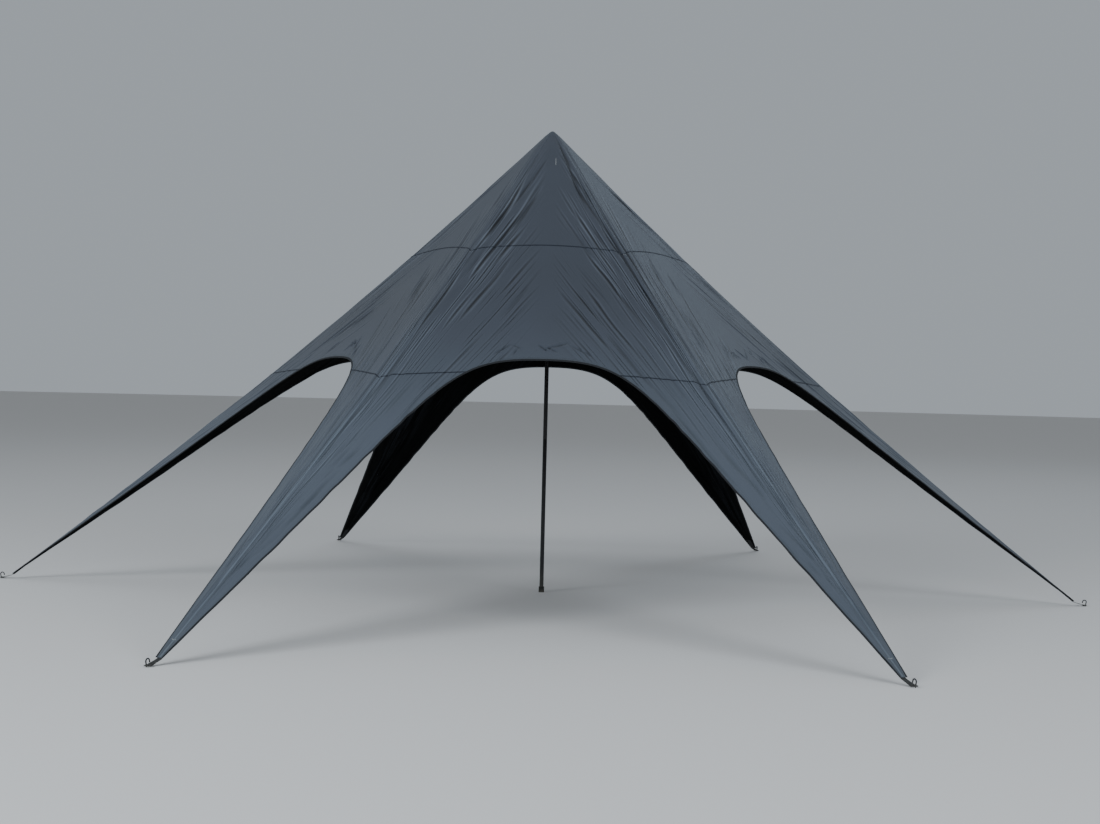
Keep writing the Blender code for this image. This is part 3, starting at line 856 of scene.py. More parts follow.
# Corner fittings, from the solids' own boxes where those say it
ring_low, ring_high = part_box("corner_ring_1")
RING_WIRE_RADIUS = (ring_high.z - ring_low.z) / 2
RING_HEIGHT = (ring_high.z + ring_low.z) / 2
RING_RADIUS = ring_high.y - RING_WIRE_RADIUS
RING_BAR = ring_low.x + RING_WIRE_RADIUS
RING_BOW = ring_high.x - RING_WIRE_RADIUS - RING_RADIUS
RING_CORNER_RADIUS = 0.004
STRAP_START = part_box("corner_strap_1")[0].x
STRAP_WIDTH = 2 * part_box("corner_strap_1")[1].y
STRAP_LAYER = 0.0015
STRAP_DEPTH = 0.0074                     # of its upper face below the smooth cloth, at the ridge
STRAP_PITCH = 0.002                      # between its stations
SELVEDGE = 0.001
EYE_RADIUS = 0.0028
PEG_FOOT_RADIUS = 4.2465
PEG_WIRE_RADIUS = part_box("corner_peg_1")[1].y
PEG_LEAN = math.radians(12)
PEG_SHAFT = 0.031
PEG_HOOK_RADIUS = 0.014
PEG_HOOK_END = 0.012

# Centre pole
CLEARANCE = 0.0003                       # between parts that slide or sit in each other
POLE_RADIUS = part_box("pole_lower")[1].x
POLE_WALL = 0.0015
POLE_LIP = 0.0006                        # of a tube's rolled end
POLE_PLUG_RADIUS = POLE_RADIUS - POLE_WALL - CLEARANCE
POLE_JOINTS = (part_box("pole_middle")[0].z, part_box("pole_upper")[0].z)
POLE_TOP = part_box("pole_upper")[1].z
PLUG_LENGTH = 0.08
FOOT_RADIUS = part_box("pole_foot")[1].x
FOOT_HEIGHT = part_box("pole_foot")[1].z
FOOT_BASE = 0.008
FOOT_GROOVES = (0.014, 0.024)            # heights of the grip grooves' lower edges
CATCH_ABOVE_JOINT = 0.045
HEAD_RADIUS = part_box("pole_head")[1].x
HEAD_RIM = 0.006
HEAD_DEPTH = 0.0053                      # of its dome below the smooth cloth
HEAD_FLANGE_RADIUS = 0.02


def in_corner(mesh, turn):
    """A copy of a mesh made in corner 1's place, turned to another corner."""
    copy = mesh.copy()
    copy.transform(Matrix.Rotation(math.atan2(turn.imag, turn.real), 4, "Z"))
    return copy


def strap_path():
    """The webbing's middle line from the side, as along + 1j * height: out, round the ring's bar and back."""
    bar = complex(RING_BAR, RING_HEIGHT)
    along = np.linspace(STRAP_START, TIP_RADIUS, 7)
    upper = along + 1j * (ridge_height(along) - STRAP_DEPTH - STRAP_LAYER / 2)
    run = (bar - upper[-1]) / abs(bar - upper[-1])
    towards_top = math.degrees(math.atan2((1j * run).imag, (1j * run).real))
    eye = arc(bar, EYE_RADIUS + STRAP_LAYER / 2, towards_top + 20, towards_top - 205, 22)
    neck = upper[-1] + (bar - upper[-1]) * 0.45
    lower = upper - 1j * STRAP_LAYER
    return np.concatenate([upper, [neck], eye, [neck - 1j * STRAP_LAYER], lower[::-1]])


def strap_mesh():
    """Flat webbing swept along its path, with eased selvedges and a UV map along its threads."""
    path = even_path(strap_path(), STRAP_PITCH)
    square = left_of(path)
    half, thin = STRAP_WIDTH / 2, STRAP_LAYER * 0.49
    across = np.linspace(-half + SELVEDGE, half - SELVEDGE, 9)
    upper = [(y, thin) for y in across]
    lower = [(y, -thin) for y in across[::-1]]
    section = [(-half, 0.0)] + upper + [(half, 0.0)] + lower
    sides = []
    for y, lift in section:
        places = path + square * lift
        sides.append(np.stack([places.real, np.full(len(path), y), places.imag], axis=-1))
    mesh = swept_mesh("strap", np.stack(sides, axis=1))
    along = np.repeat(np.linspace(0, len(path) * STRAP_PITCH, len(path)), len(section))
    widths = np.tile([y for y, _ in section], len(path))
    write_uv(mesh, "threads", (widths + 1j * along)[loop_vertices(mesh)])
    return mesh


def ring_mesh():
    """A D-shaped ring that lies level: a straight bar for the strap and a bow round the peg."""
    inset = RING_RADIUS - RING_CORNER_RADIUS
    bow = arc(RING_BOW, RING_RADIUS, -90, 90, 32)
    left = arc(complex(RING_BAR + RING_CORNER_RADIUS, inset), RING_CORNER_RADIUS, 90, 180, 6)
    right = arc(complex(RING_BAR + RING_CORNER_RADIUS, -inset), RING_CORNER_RADIUS, 180, 270, 6)
    outline = np.concatenate([bow, left, right])
    points = np.stack([outline.real, outline.imag, np.full(len(outline), RING_HEIGHT)], axis=-1)
    return tube_mesh("ring", points, np.full(len(points), RING_WIRE_RADIUS), True)


def peg_mesh():
    """The part of a steel peg above the ground: a leaning shaft and a hook back towards the tent."""
    lean = complex(math.sin(PEG_LEAN), math.cos(PEG_LEAN))
    inward = 1j * lean
    foot = complex(PEG_FOOT_RADIUS, 0)
    shoulder = foot + lean * PEG_SHAFT
    centre = shoulder + inward * PEG_HOOK_RADIUS
    turns = np.radians(np.linspace(0, 180, 25))
    bend = centre + PEG_HOOK_RADIUS * (lean * np.sin(turns) - inward * np.cos(turns))
    end = bend[-1] - lean * np.array([PEG_HOOK_END - 0.0015, PEG_HOOK_END - 0.0004, PEG_HOOK_END])
    path = np.concatenate([[foot, foot + 0.001j], bend, end])
    radii = np.full(len(path), PEG_WIRE_RADIUS)
    radii[-2:] *= (0.8, 0.4)
    points = np.stack([path.real, np.zeros(len(path)), path.imag], axis=-1)
    return tube_mesh("peg", points, radii, False)


def box_stitch_lines():
    """A box with a cross in it, sewn through the cloth's end and the strap, in a corner's own axes."""
    near, far, half = STRAP_START + 0.02, TIP_RADIUS - 0.012, 0.014
    corners = [complex(near, -half), complex(far, -half), complex(far, half), complex(near, half)]
    box = list(zip(corners, corners[1:] + corners[:1]))
    cross = [(corners[0], corners[2]), (corners[1], corners[3])]
    return [np.linspace(start, end, 12) for start, end in box + cross]


def tube_profile(bottom, top, has_plug):
    """A pole tube with rolled ends and, if it has one, the narrowed plug that the next tube slides over."""
    inside, lip = POLE_RADIUS - POLE_WALL, POLE_LIP
    foot = [(inside, bottom), (POLE_RADIUS - lip, bottom), (POLE_RADIUS, bottom + lip)]
    if not has_plug:
        return foot + [(POLE_RADIUS, top - lip), (POLE_RADIUS - lip, top), (inside, top)]
    bore = POLE_PLUG_RADIUS - POLE_WALL
    shoulder = [(POLE_RADIUS, top - 4 * lip), (POLE_RADIUS - lip, top - 2 * lip)]
    plug = [(POLE_PLUG_RADIUS, top - CLEARANCE), (POLE_PLUG_RADIUS, top + PLUG_LENGTH)]
    narrow_bore = [(bore, top + PLUG_LENGTH), (bore, top - 0.008), (inside, top - 0.016)]
    return foot + shoulder + plug + narrow_bore


def foot_profile():
    """A rubber cup with a rounded sole and two grip grooves round its side."""
    bore = POLE_RADIUS + CLEARANCE
    rim = FOOT_RADIUS - 0.001
    outline = [(0, 0), (FOOT_RADIUS - 0.002, 0), (FOOT_RADIUS - 0.0006, 0.0006), (FOOT_RADIUS, 0.002)]
    for groove in FOOT_GROOVES:
        outline += [(FOOT_RADIUS - 0.0004, groove), (FOOT_RADIUS - 0.0014, groove + 0.0012),
                    (FOOT_RADIUS - 0.0014, groove + 0.0028), (FOOT_RADIUS - 0.0004, groove + 0.004)]
    return outline + [(rim, FOOT_HEIGHT - 0.0015), (rim - 0.0012, FOOT_HEIGHT), (bore, FOOT_HEIGHT),
                      (bore, FOOT_BASE), (0, FOOT_BASE)]


def head_profile():
    """The round head under the peak: a plug in the pole's top, a flange on its rim and a smooth dome."""
    plug = POLE_PLUG_RADIUS
    seat = POLE_TOP + CLEARANCE
    reach = np.linspace(0, HEAD_RADIUS - 0.001, 9)
    top = [(float(radius), float(ridge_height(radius)) - HEAD_DEPTH) for radius in reach]
    rim = top[-1][1] - HEAD_RIM
    return [(0, POLE_TOP - PLUG_LENGTH), (plug, POLE_TOP - PLUG_LENGTH), (plug, seat),
            (HEAD_FLANGE_RADIUS - 0.001, seat), (HEAD_FLANGE_RADIUS, seat + 0.001),
            (HEAD_FLANGE_RADIUS, seat + HEAD_RIM), (HEAD_RADIUS - 0.002, rim),
            (HEAD_RADIUS, rim + 0.002), (HEAD_RADIUS, top[-1][1] - 0.001)] + top[::-1]


def catch_profile():
    """A press button in its collar that stands out through the tube's side."""
    collar = [(0, -0.001), (0.0052, -0.001), (0.0052, 0.0004), (0.0044, 0.0008), (0.0038, 0.0006)]
    button = [(0.0037, 0.0018), (0.0030, 0.0027), (0.0016, 0.0032), (0, 0.0033)]
    return collar + button


def new_group(name, inputs, outputs):
    """A shader node group with named sockets, given as (label, kind, value) and (label, kind)."""
    group = bpy.data.node_groups.new(name, "ShaderNodeTree")
    for label, kind, value in inputs:
        socket = group.interface.new_socket(label, in_out="INPUT", socket_type=kind)
        if value is not None:
            socket.default_value = value
    for label, kind in outputs:
        group.interface.new_socket(label, in_out="OUTPUT", socket_type=kind)
    return group, group.nodes.new("NodeGroupInput").outputs, group.nodes.new("NodeGroupOutput").inputs


FLOAT, COLOUR, VECTOR = "NodeSocketFloat", "NodeSocketColor", "NodeSocketVector"


def placed_group(tree, group, inputs):
    """The outputs of a node group placed in a tree."""
    return add_node(tree, "ShaderNodeGroup", inputs, node_tree=group).outputs


def worked_out(tree, operation, *values):
    """A Math node's output for one operation on numbers or sockets."""
    return add_node(tree, "ShaderNodeMath", dict(enumerate(values)), operation=operation).outputs["Value"]


def times(tree, first, second):
    return worked_out(tree, "MULTIPLY", first, second)


def larger(tree, first, second):
    return worked_out(tree, "MAXIMUM", first, second)


def axis_of(tree, vector, axis):
    return add_node(tree, "ShaderNodeSeparateXYZ", {"Vector": vector}).outputs[axis]


def noise_over(tree, vector, scale, **settings):
    """Noise at a scale over a map."""
    inputs = {"Vector": vector, "Scale": scale, **settings}
    return add_node(tree, "ShaderNodeTexNoise", inputs).outputs["Fac"]


def stretched_noise(tree, vector, stretch, detail):
    """Noise over a map that is stretched first."""
    stretched = add_node(tree, "ShaderNodeVectorMath", {0: vector, 1: stretch}, operation="MULTIPLY")
    return noise_over(tree, stretched.outputs["Vector"], 1.0, Detail=detail)


def map_range(tree, value, low, high, **settings):
    """A value stretched from between two limits to between 0 and 1."""
    inputs = {"Value": value, "From Min": low, "From Max": high}
    return add_node(tree, "ShaderNodeMapRange", inputs, **settings).outputs["Result"]


def scaled(tree, vector, factor):
    inputs = {0: vector, "Scale": factor}
    return add_node(tree, "ShaderNodeVectorMath", inputs, operation="SCALE").outputs["Vector"]


def mixed(tree, factor, first, second):
    """A colour between two others."""
    inputs = {"Factor": factor, "A": first, "B": second}
    return add_node(tree, "ShaderNodeMix", inputs, data_type="RGBA").outputs["Result"]


def between(tree, factor, low, high):
    """A factor from 0 to 1 stretched to run from a low value to a high one."""
    return worked_out(tree, "MULTIPLY_ADD", factor, high - low, low)


def weave_group():
    """Over-and-under threads from a map in metres."""
    inputs = [("Vector", VECTOR, None), ("Pitch Across", FLOAT, 0.0006), ("Pitch Along", FLOAT, 0.0006)]
    group, given, out = new_group("woven_threads", inputs, [("Threads", FLOAT)])
    place = add_node(group, "ShaderNodeSeparateXYZ", {"Vector": given["Vector"]}).outputs
    waves = []
    for axis, pitch in (("X", "Pitch Across"), ("Y", "Pitch Along")):
        turns = worked_out(group, "DIVIDE", place[axis], given[pitch])
        waves.append(worked_out(group, "SINE", times(group, turns, math.pi)))
    crossed = times(group, *waves)
    link(group, worked_out(group, "MULTIPLY_ADD", crossed, 0.5, 0.5), out["Threads"])
    return group


def lines_group():
    """Narrow creases side by side, each with a place, a width and ends of its own: a mask of their valleys,
    and one of their raised sides, where the cloth paints a highlight.
    """
    inputs = [("Vector", VECTOR, None), ("Lines", FLOAT, 45.0),
              ("Length", FLOAT, 0.4), ("Width", FLOAT, 0.14)]
    group, given, out = new_group("parallel_creases", inputs, [("Valleys", FLOAT), ("Sides", FLOAT)])
    place = add_node(group, "ShaderNodeSeparateXYZ", {"Vector": given["Vector"]}).outputs
    waver = stretched_noise(group, given["Vector"], (6, 1.1, 1), 1.0)
    spaced = times(group, place["X"], given["Lines"])
    across = worked_out(group, "MULTIPLY_ADD", waver, LINE_WAVER, spaced)
    line = worked_out(group, "FLOOR", across)
    chance = add_node(group, "ShaderNodeTexWhiteNoise", {"W": line}, noise_dimensions="1D")
    chances = add_node(group, "ShaderNodeSeparateColor", {"Color": chance.outputs["Color"]}).outputs
    centre = worked_out(group, "ADD", line, between(group, chances["Red"], 0.32, 0.68))
    along = worked_out(group, "DIVIDE", place["Y"], given["Length"])
    own_place = times(group, line, LINE_STEP)
    run = add_node(group, "ShaderNodeCombineXYZ", {"X": own_place, "Y": along}).outputs["Vector"]
    strength = map_range(group, stretched_noise(group, run, (1, 1, 1), 0.0), 0.41, 0.6)
    own_width = times(group, given["Width"], between(group, chances["Green"], 0.5, 1.3))
    tapered = times(group, own_width, worked_out(group, "SQRT", strength))
    off_centre = worked_out(group, "ABSOLUTE", worked_out(group, "SUBTRACT", across, centre))
    off_line = worked_out(group, "DIVIDE", off_centre, larger(group, tapered, 0.001))
    valley = map_range(group, off_line, 1.0, 0.0)
    off_side = worked_out(group, "ABSOLUTE", worked_out(group, "SUBTRACT", off_line, 1.2))
    side = map_range(group, off_side, 0.8, 0.0)
    link(group, times(group, valley, strength), out["Valleys"])
    link(group, times(group, side, strength), out["Sides"])
    return group


def pulls_group(lines):
    """Fine creases in bundles that run towards a corner, fewer towards the middle of a bay. Their valleys are
    bumped and painted darker as shade, and their raised sides carry a painted highlight, strongest by the
    ridges.
    """
    inputs = [("Vector", VECTOR, None), ("From Middle", FLOAT, 1.0), ("Height", FLOAT, 3.0)]
    group, given, out = new_group("fine_pulls", inputs, [("Valleys", FLOAT), ("Sides", FLOAT)])
    vector = given["Vector"]
    bearing = axis_of(group, vector, "X")
    by_ridge = map_range(group, worked_out(group, "ABSOLUTE", bearing), *PULLS_BY_RIDGE)
    above_legs = map_range(group, given["Height"], *PULLS_ABOVE_LEGS)
    above_tips = map_range(group, given["Height"], *PULLS_ABOVE_TIPS)
    kept = larger(group, larger(group, by_ridge, above_legs), PULLS_LEFT)
    kept = times(group, kept, above_tips)
    dense = times(group, map_range(group, given["From Middle"], *PULLS_OFF_MIDDLE), kept)
    wide = placed_group(group, lines, {"Vector": vector, **WIDE_PULLS})
    narrow = placed_group(group, lines, {"Vector": vector, **NARROW_PULLS})
    wide_share = map_range(group, stretched_noise(group, vector, (12, 1.3, 1), 1.0), 0.3, 0.46)
    wide_share = larger(group, wide_share, by_ridge)
    narrow_share = map_range(group, stretched_noise(group, vector, (17, 1.9, 1), 1.0), 0.38, 0.56)
    narrow_share = times(group, larger(group, narrow_share, by_ridge), 0.8)
    highlight_share = times(group, dense, between(group, by_ridge, 0.25, 1))
    for label, share in (("Valleys", dense), ("Sides", highlight_share)):
        both = larger(group, times(group, wide[label], wide_share), times(group, narrow[label], narrow_share))
        link(group, times(group, both, share), out[label])
    return group


def shade_group():
    """A colour that drifts lighter and darker over a surface."""
    inputs = [("Vector", VECTOR, None), ("Color", COLOUR, None),
              ("Patch Size", FLOAT, 0.3), ("Amount", FLOAT, 0.1)]
    group, given, out = new_group("uneven_shade", inputs, [("Color", COLOUR), ("Patches", FLOAT)])
    scale = worked_out(group, "DIVIDE", 1, given["Patch Size"])
    patches = noise_over(group, given["Vector"], scale, Detail=4.0)
    swing = worked_out(group, "MULTIPLY_ADD", patches, 2, -1)
    factor = worked_out(group, "MULTIPLY_ADD", swing, given["Amount"], 1)
    link(group, scaled(group, given["Color"], factor), out["Color"])
    link(group, patches, out["Patches"])
    return group


def dust_group():
    """Dust from the ground, thickest at the bottom and gone at a height."""
    inputs = [("Vector", VECTOR, None), ("Color", COLOUR, None), ("Dust", COLOUR, DUST_COLOUR),
              ("Height", FLOAT, 0.3), ("Amount", FLOAT, 0.3)]
    group, given, out = new_group("ground_dust", inputs, [("Color", COLOUR)])
    up = worked_out(group, "DIVIDE", axis_of(group, given["Vector"], "Z"), given["Height"])
    low = larger(group, worked_out(group, "SUBTRACT", 1, up), 0)
    specks = noise_over(group, given["Vector"], 40.0, Detail=5.0)
    share = times(group, worked_out(group, "POWER", low, 2), specks)
    share = times(group, share, given["Amount"])
    link(group, mixed(group, share, given["Color"], given["Dust"]), out["Color"])
    return group


def paler_low_group():
    """A colour that turns paler towards the bottom, below the arches' tops."""
    inputs = [("Vector", VECTOR, None), ("Color", COLOUR, None), ("Pale", COLOUR, LOW_PALE_COLOUR),
              ("Top", FLOAT, 2.3), ("Bottom", FLOAT, 1.1), ("Amount", FLOAT, 0.2)]
    group, given, out = new_group("paler_low_down", inputs, [("Color", COLOUR)])
    height = axis_of(group, given["Vector"], "Z")
    low = map_range(group, height, given["Top"], given["Bottom"], interpolation_type="SMOOTHSTEP")
    share = times(group, low, given["Amount"])
    link(group, mixed(group, share, given["Color"], given["Pale"]), out["Color"])
    return group


def new_material(name, roughness, metallic=0.0, specular=0.5):
    """A material with its shader and the coordinates that its patterns read."""
    material = bpy.data.materials.new(name)
    material.use_nodes = True
    tree = material.node_tree
    shader = tree.nodes["Principled BSDF"]
    shader.inputs["Roughness"].default_value = roughness
    shader.inputs["Metallic"].default_value = metallic
    shader.inputs["Specular IOR Level"].default_value = specular
    place = tree.nodes.new("ShaderNodeTexCoord").outputs["Object"]
    return material, tree, shader, place


def bumped(tree, height, distance, strength=1.0, under=None):
    """A Bump node's normal for a height, on top of another normal if one is given."""
    inputs = {"Height": height, "Distance": distance, "Strength": strength}
    if under is not None:
        inputs["Normal"] = under
    return add_node(tree, "ShaderNodeBump", inputs).outputs["Normal"]


def shaded(tree, groups, place, colour, patch_size, amount):
    """The outputs of the shade group: a colour in lighter and darker patches, and the patches themselves."""
    inputs = {"Vector": place, "Color": colour, "Patch Size": patch_size, "Amount": amount}
    return placed_group(tree, groups["shade"], inputs)


def dusted(tree, groups, place, colour, height, amount):
    """A colour with dust on it up to a height."""
    inputs = {"Vector": place, "Color": colour, "Height": height, "Amount": amount}
    return placed_group(tree, groups["dust"], inputs)["Color"]


def set_surface(tree, shader, colour, roughness, normal):
    for label, source in (("Base Color", colour), ("Roughness", roughness), ("Normal", normal)):
        link(tree, source, shader.inputs[label])


def cloth_material(name, colour, groups, roughness, specular, pull_share, dust=0.25, paling=0.0):
    """Coated woven cloth: threads and creases, with painted shade in the creases' valleys and a painted
    highlight on their raised sides, uneven shade, paler low down, dusty near the ground.
    """
    material, tree, shader, place = new_material(name, roughness, specular=specular)
    threads_map = add_node(tree, "ShaderNodeUVMap", uv_map="threads").outputs["UV"]
    pulls_map = add_node(tree, "ShaderNodeUVMap", uv_map="pulls").outputs["UV"]
    from_middle = worked_out(tree, "ABSOLUTE", axis_of(tree, threads_map, "X"))
    height = axis_of(tree, place, "Z")
    sunk = add_node(tree, "ShaderNodeAttribute", attribute_name="sunk").outputs["Fac"]
    shade = shaded(tree, groups, place, colour, 0.5, 0.14)
    threads = placed_group(tree, groups["weave"], {"Vector": threads_map})["Threads"]
    inputs = {"Vector": pulls_map, "From Middle": from_middle, "Height": height}
    pulls = placed_group(tree, groups["pulls"], inputs)
    # Painted highlight on the raised sides of the fine creases, then painted shade in their valleys and in
    # the deepest modelled creases
    glint = times(tree, pulls["Sides"], PULL_GLINT * pull_share)
    highlighted = mixed(tree, glint, shade["Color"], CREASE_HIGHLIGHT_COLOUR)
    folds = times(tree, map_range(tree, sunk, *SHADED_DEPTHS), FOLD_SHADE)
    valleys = times(tree, pulls["Valleys"], PULL_SHADE * pull_share)
    shaded_and_worn = mixed(tree, larger(tree, valleys, folds), highlighted, CREASE_SHADE_COLOUR)
    paled = placed_group(tree, groups["paler_low"], {"Vector": place, "Color": shaded_and_worn, "Amount": paling})["Color"]
    colour = dusted(tree, groups, place, paled, CLOTH_DUST_HEIGHT, dust)
    uneven = between(tree, shade["Patches"], roughness - CLOTH_UNEVENNESS, roughness + CLOTH_UNEVENNESS)
    creased = bumped(tree, pulls["Valleys"], -PULL_DEPTH, pull_share)
    set_surface(tree, shader, colour, uneven, bumped(tree, threads, 0.00012, 0.5, creased))
    return material


def webbing_material(groups):
    """Coarse flat webbing, dusty where it lies near the ground."""
    material, tree, shader, place = new_material("black_webbing", 0.75, specular=0.35)
    threads_map = add_node(tree, "ShaderNodeUVMap", uv_map="threads").outputs["UV"]
    shade = shaded(tree, groups, place, (0.016, 0.017, 0.019, 1), 0.02, 0.3)
    inputs = {"Vector": threads_map, "Pitch Across": 0.0019, "Pitch Along": 0.0024}
    threads = placed_group(tree, groups["weave"], inputs)["Threads"]
    colour = dusted(tree, groups, place, shade["Color"], 0.08, 0.5)
    set_surface(tree, shader, colour, between(tree, threads, 0.68, 0.85), bumped(tree, threads, 0.0005, 0.8))
    return material


def coated_steel(name, colour, groups, roughness, wear, dust_height):
    """Black coated steel: a fine pebbled coat, rubbed to the metal in small spots, dusty low down."""
    material, tree, shader, place = new_material(name, roughness, specular=0.5)
    shade = shaded(tree, groups, place, colour, 0.06, 0.15)
    spots = noise_over(tree, place, 90.0, Detail=6.0, Roughness=0.65)
    bare = map_range(tree, spots, 0.7 - wear, 0.76 - wear)
    link(tree, bare, shader.inputs["Metallic"])
    shaded_and_worn = mixed(tree, bare, shade["Color"], BARE_STEEL_COLOUR)
    uneven = between(tree, shade["Patches"], roughness - 0.08, roughness + 0.1)
    coat = bumped(tree, noise_over(tree, place, 900.0, Detail=2.0), 0.00012, 0.35)
    chipped = bumped(tree, bare, -0.00015, 0.6, coat)
    set_surface(tree, shader, dusted(tree, groups, place, shaded_and_worn, dust_height, 0.6), uneven, chipped)
    return material


def moulded_material(name, colour, groups, roughness, grain, dust_height):
    """Moulded rubber or plastic with a fine grain."""
    material, tree, shader, place = new_material(name, roughness, specular=0.4)
    shade = shaded(tree, groups, place, colour, 0.015, 0.2)
    uneven = between(tree, shade["Patches"], roughness - 0.1, roughness + 0.08)
    pits = add_node(tree, "ShaderNodeTexVoronoi", {"Vector": place, "Scale": 1 / grain}).outputs["Distance"]
    colour = dusted(tree, groups, place, shade["Color"], dust_height, 0.9)
    set_surface(tree, shader, colour, uneven, bumped(tree, pits, 0.0002, 0.4))
    return material


def thread_material(name, colour):
    """Twisted sewing thread."""
    material, tree, shader, place = new_material(name, 0.6, specular=0.4)
    inputs = {"Vector": place, "Scale": 700.0, "Distortion": 1.5}
    bands = add_node(tree, "ShaderNodeTexWave", inputs, wave_type="BANDS", bands_direction="DIAGONAL")
    twist = bands.outputs["Fac"]
    tone = scaled(tree, colour, between(tree, twist, 0.8, 1.2))
    link(tree, tone, shader.inputs["Base Color"])
    link(tree, bumped(tree, twist, 0.0001, 0.5), shader.inputs["Normal"])
    return material


def make_materials():
    groups = {"weave": weave_group(), "pulls": pulls_group(lines_group()), "shade": shade_group(),
              "dust": dust_group(), "paler_low": paler_low_group()}
    return {
        "cloth": cloth_material("black_coated_cloth", (0.031, 0.0365, 0.048, 1), groups,
                                roughness=0.42, specular=0.45, pull_share=1.0, paling=0.31),
        "hem": cloth_material("folded_hem_cloth", (0.032, 0.039, 0.05, 1), groups,
                              roughness=0.44, specular=0.45, pull_share=0.5, paling=0.31),
        # Ridge seams: painted paler than the cloth, as a highlight along their raised tops
        "ridge": cloth_material("ridge_cloth_painted_highlight", (0.042, 0.049, 0.062, 1), groups,
                                roughness=0.46, specular=0.45, pull_share=0.3, paling=0.6),
        # Flat seams: painted darker than the cloth, as the shadow along their lapped edges
        "seam": cloth_material("seam_cloth_painted_shade", (0.014, 0.0175, 0.024, 1), groups,
                               roughness=0.6, specular=0.25, pull_share=0.5),
        # The inner face: the same black cloth as the outer face, painted near black as shade under the canopy
        "shaded_underside": cloth_material("shaded_underside_cloth", (0.003, 0.0035, 0.0035, 1), groups,
                                 roughness=0.7, specular=0.03, pull_share=0.4, dust=0.1),
        "webbing": webbing_material(groups),
        "pole": coated_steel("black_powder_coat", (0.010, 0.010, 0.011, 1), groups,
                             roughness=0.42, wear=0.0, dust_height=0.25),
        "fitting": coated_steel("dark_zinc_steel", (0.012, 0.013, 0.014, 1), groups,
                                roughness=0.42, wear=0.04, dust_height=0.05),
        "rubber": moulded_material("black_rubber", (0.012, 0.012, 0.012, 1), groups,
                                   roughness=0.75, grain=0.0012, dust_height=0.05),
        "plastic": moulded_material("black_plastic", (0.016, 0.016, 0.017, 1), groups,
                                    roughness=0.5, grain=0.0008, dust_height=0.05),
        "thread": thread_material("dark_thread", (0.03, 0.034, 0.04)),
        "pale_thread": thread_material("pale_thread", (0.5, 0.5, 0.48)),
    }


def settle(piece, slot, *replaced):
    """Rides a finished piece on the tent's one body and hides the solids that it replaces. The slot is not
    used.
    """
    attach(piece, "root")
    if replaced:
        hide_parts(*replaced)
    return piece


def declare_sheet(grid):
    sheet_area(*grid)


def make_bays(materials):
    """The six bays, each one sheet from the peak down to the lower seam."""
    grid = bay_grid()
    width = line_length(whole_row(SEAM_MIDDLES[2]))
    length = line_length(np.linspace(0, SEAM_MIDDLES[2], SEAM_STEPS).astype(complex))
    outer_and_inner = [materials["cloth"], materials["shaded_underside"]]
    for number in NUMBERS:
        piece = cloth_sheet(f"bay_{number}_cloth", *grid, bay_turn(number), outer_and_inner)
        settle(piece, "canopy_cloth", f"upper_panel_{number}", f"middle_panel_{number}")
        declare_sheet(grid)


def make_legs(materials):
    """The six legs, each one sheet folded over its ridge."""
    grid = leg_grid()
    across = grid[0][:2 * LEG_COLUMNS + 1]
    along = grid[0][LEG_COLUMNS::2 * LEG_COLUMNS + 1]
    width, length = line_length(across), line_length(along)
    outer_and_inner = [materials["cloth"], materials["shaded_underside"]]
    for number in NUMBERS:
        piece = cloth_sheet(f"leg_{number}_cloth", *grid, corner_turn(number), outer_and_inner)
        settle(piece, "canopy_cloth", f"leg_{number}_left", f"leg_{number}_right")
        declare_sheet(grid)


def make_edges(materials):
    """The hem, its binding and the seams."""
    edge = even_path(edge_path(), RIBBON_PITCH)
    ridge = even_path(ridge_path(), RIBBON_PITCH)
    flat = flat_section(FLAT_SEAM_WIDTH, FLAT_SEAM_LIFT)
    raised = flat_section(RIDGE_SEAM_WIDTH, RIDGE_SEAM_LIFT)
    outer_and_inner = [materials["hem"], materials["shaded_underside"]]
    for number in NUMBERS:
        turn = bay_turn(number)
        settle(ribbon(f"arch_{number}_hem", edge * turn, hem_section(), outer_and_inner), "canopy_cloth")
        binding = ribbon(f"arch_{number}_binding", edge * turn, binding_section(), [materials["webbing"]])
        settle(binding, "webbing")
        for label, path in seam_paths(number):
            strip = ribbon(label, even_path(path, SEAM_PITCH) * turn, flat, [materials["seam"]])
            settle(strip, "canopy_cloth")
        along = ridge * corner_turn(number)
        settle(ribbon(f"ridge_seam_{number}", along, raised, [materials["ridge"]]), "canopy_cloth")


def make_stitches(materials):
    tree = stitch_tree()
    dark, pale = materials["thread"], materials["pale_thread"]
    for name, lines in stitch_lines().items():
        settle(sewn(name, lines, tree, dark, LONG_STITCHES), "canopy_cloth")
    boxes = [line * corner_turn(number) for number in NUMBERS for line in box_stitch_lines()]
    settle(sewn("corner_box_stitches", boxes, tree, dark, SHORT_STITCHES), "canopy_cloth")
    settle(sewn("pale_tacks", tack_lines(), tree, pale, TACK_STITCHES), "canopy_cloth")


def tack_lines():
    """Pale bar tacks: one below the peak on the front bay, and two on each ridge."""
    lines = [(FRONT_TACK + np.linspace(0, FRONT_TACK_LENGTH, 8)) * bay_turn(FRONT_BAY)]
    crossing = complex(SEAM_RIDGES[1] / math.cos(HALF_BAY), 0)
    corner = complex(STRAP_START + 0.008, 0)
    for number in NUMBERS:
        across_ridge = np.linspace(-RIDGE_TACK_REACH, RIDGE_TACK_REACH, 6)
        across_corner = np.linspace(-CORNER_TACK_REACH, CORNER_TACK_REACH, 8)
        lines.append((crossing + 1j * across_ridge) * corner_turn(number))
        lines.append((corner + 1j * across_corner) * corner_turn(number))
    return lines


def make_fittings(materials):
    kinds = (("strap", strap_mesh(), "webbing", "webbing"), ("ring", ring_mesh(), "fitting", "fitting_steel"),
             ("peg", peg_mesh(), "fitting", "fitting_steel"))
    for number in NUMBERS:
        for kind, mesh, material, slot in kinds:
            placed = in_corner(mesh, corner_turn(number))
            piece = new_object(f"{kind}_{number}", placed, [materials[material]])
            settle(piece, slot, f"corner_{kind}_{number}")


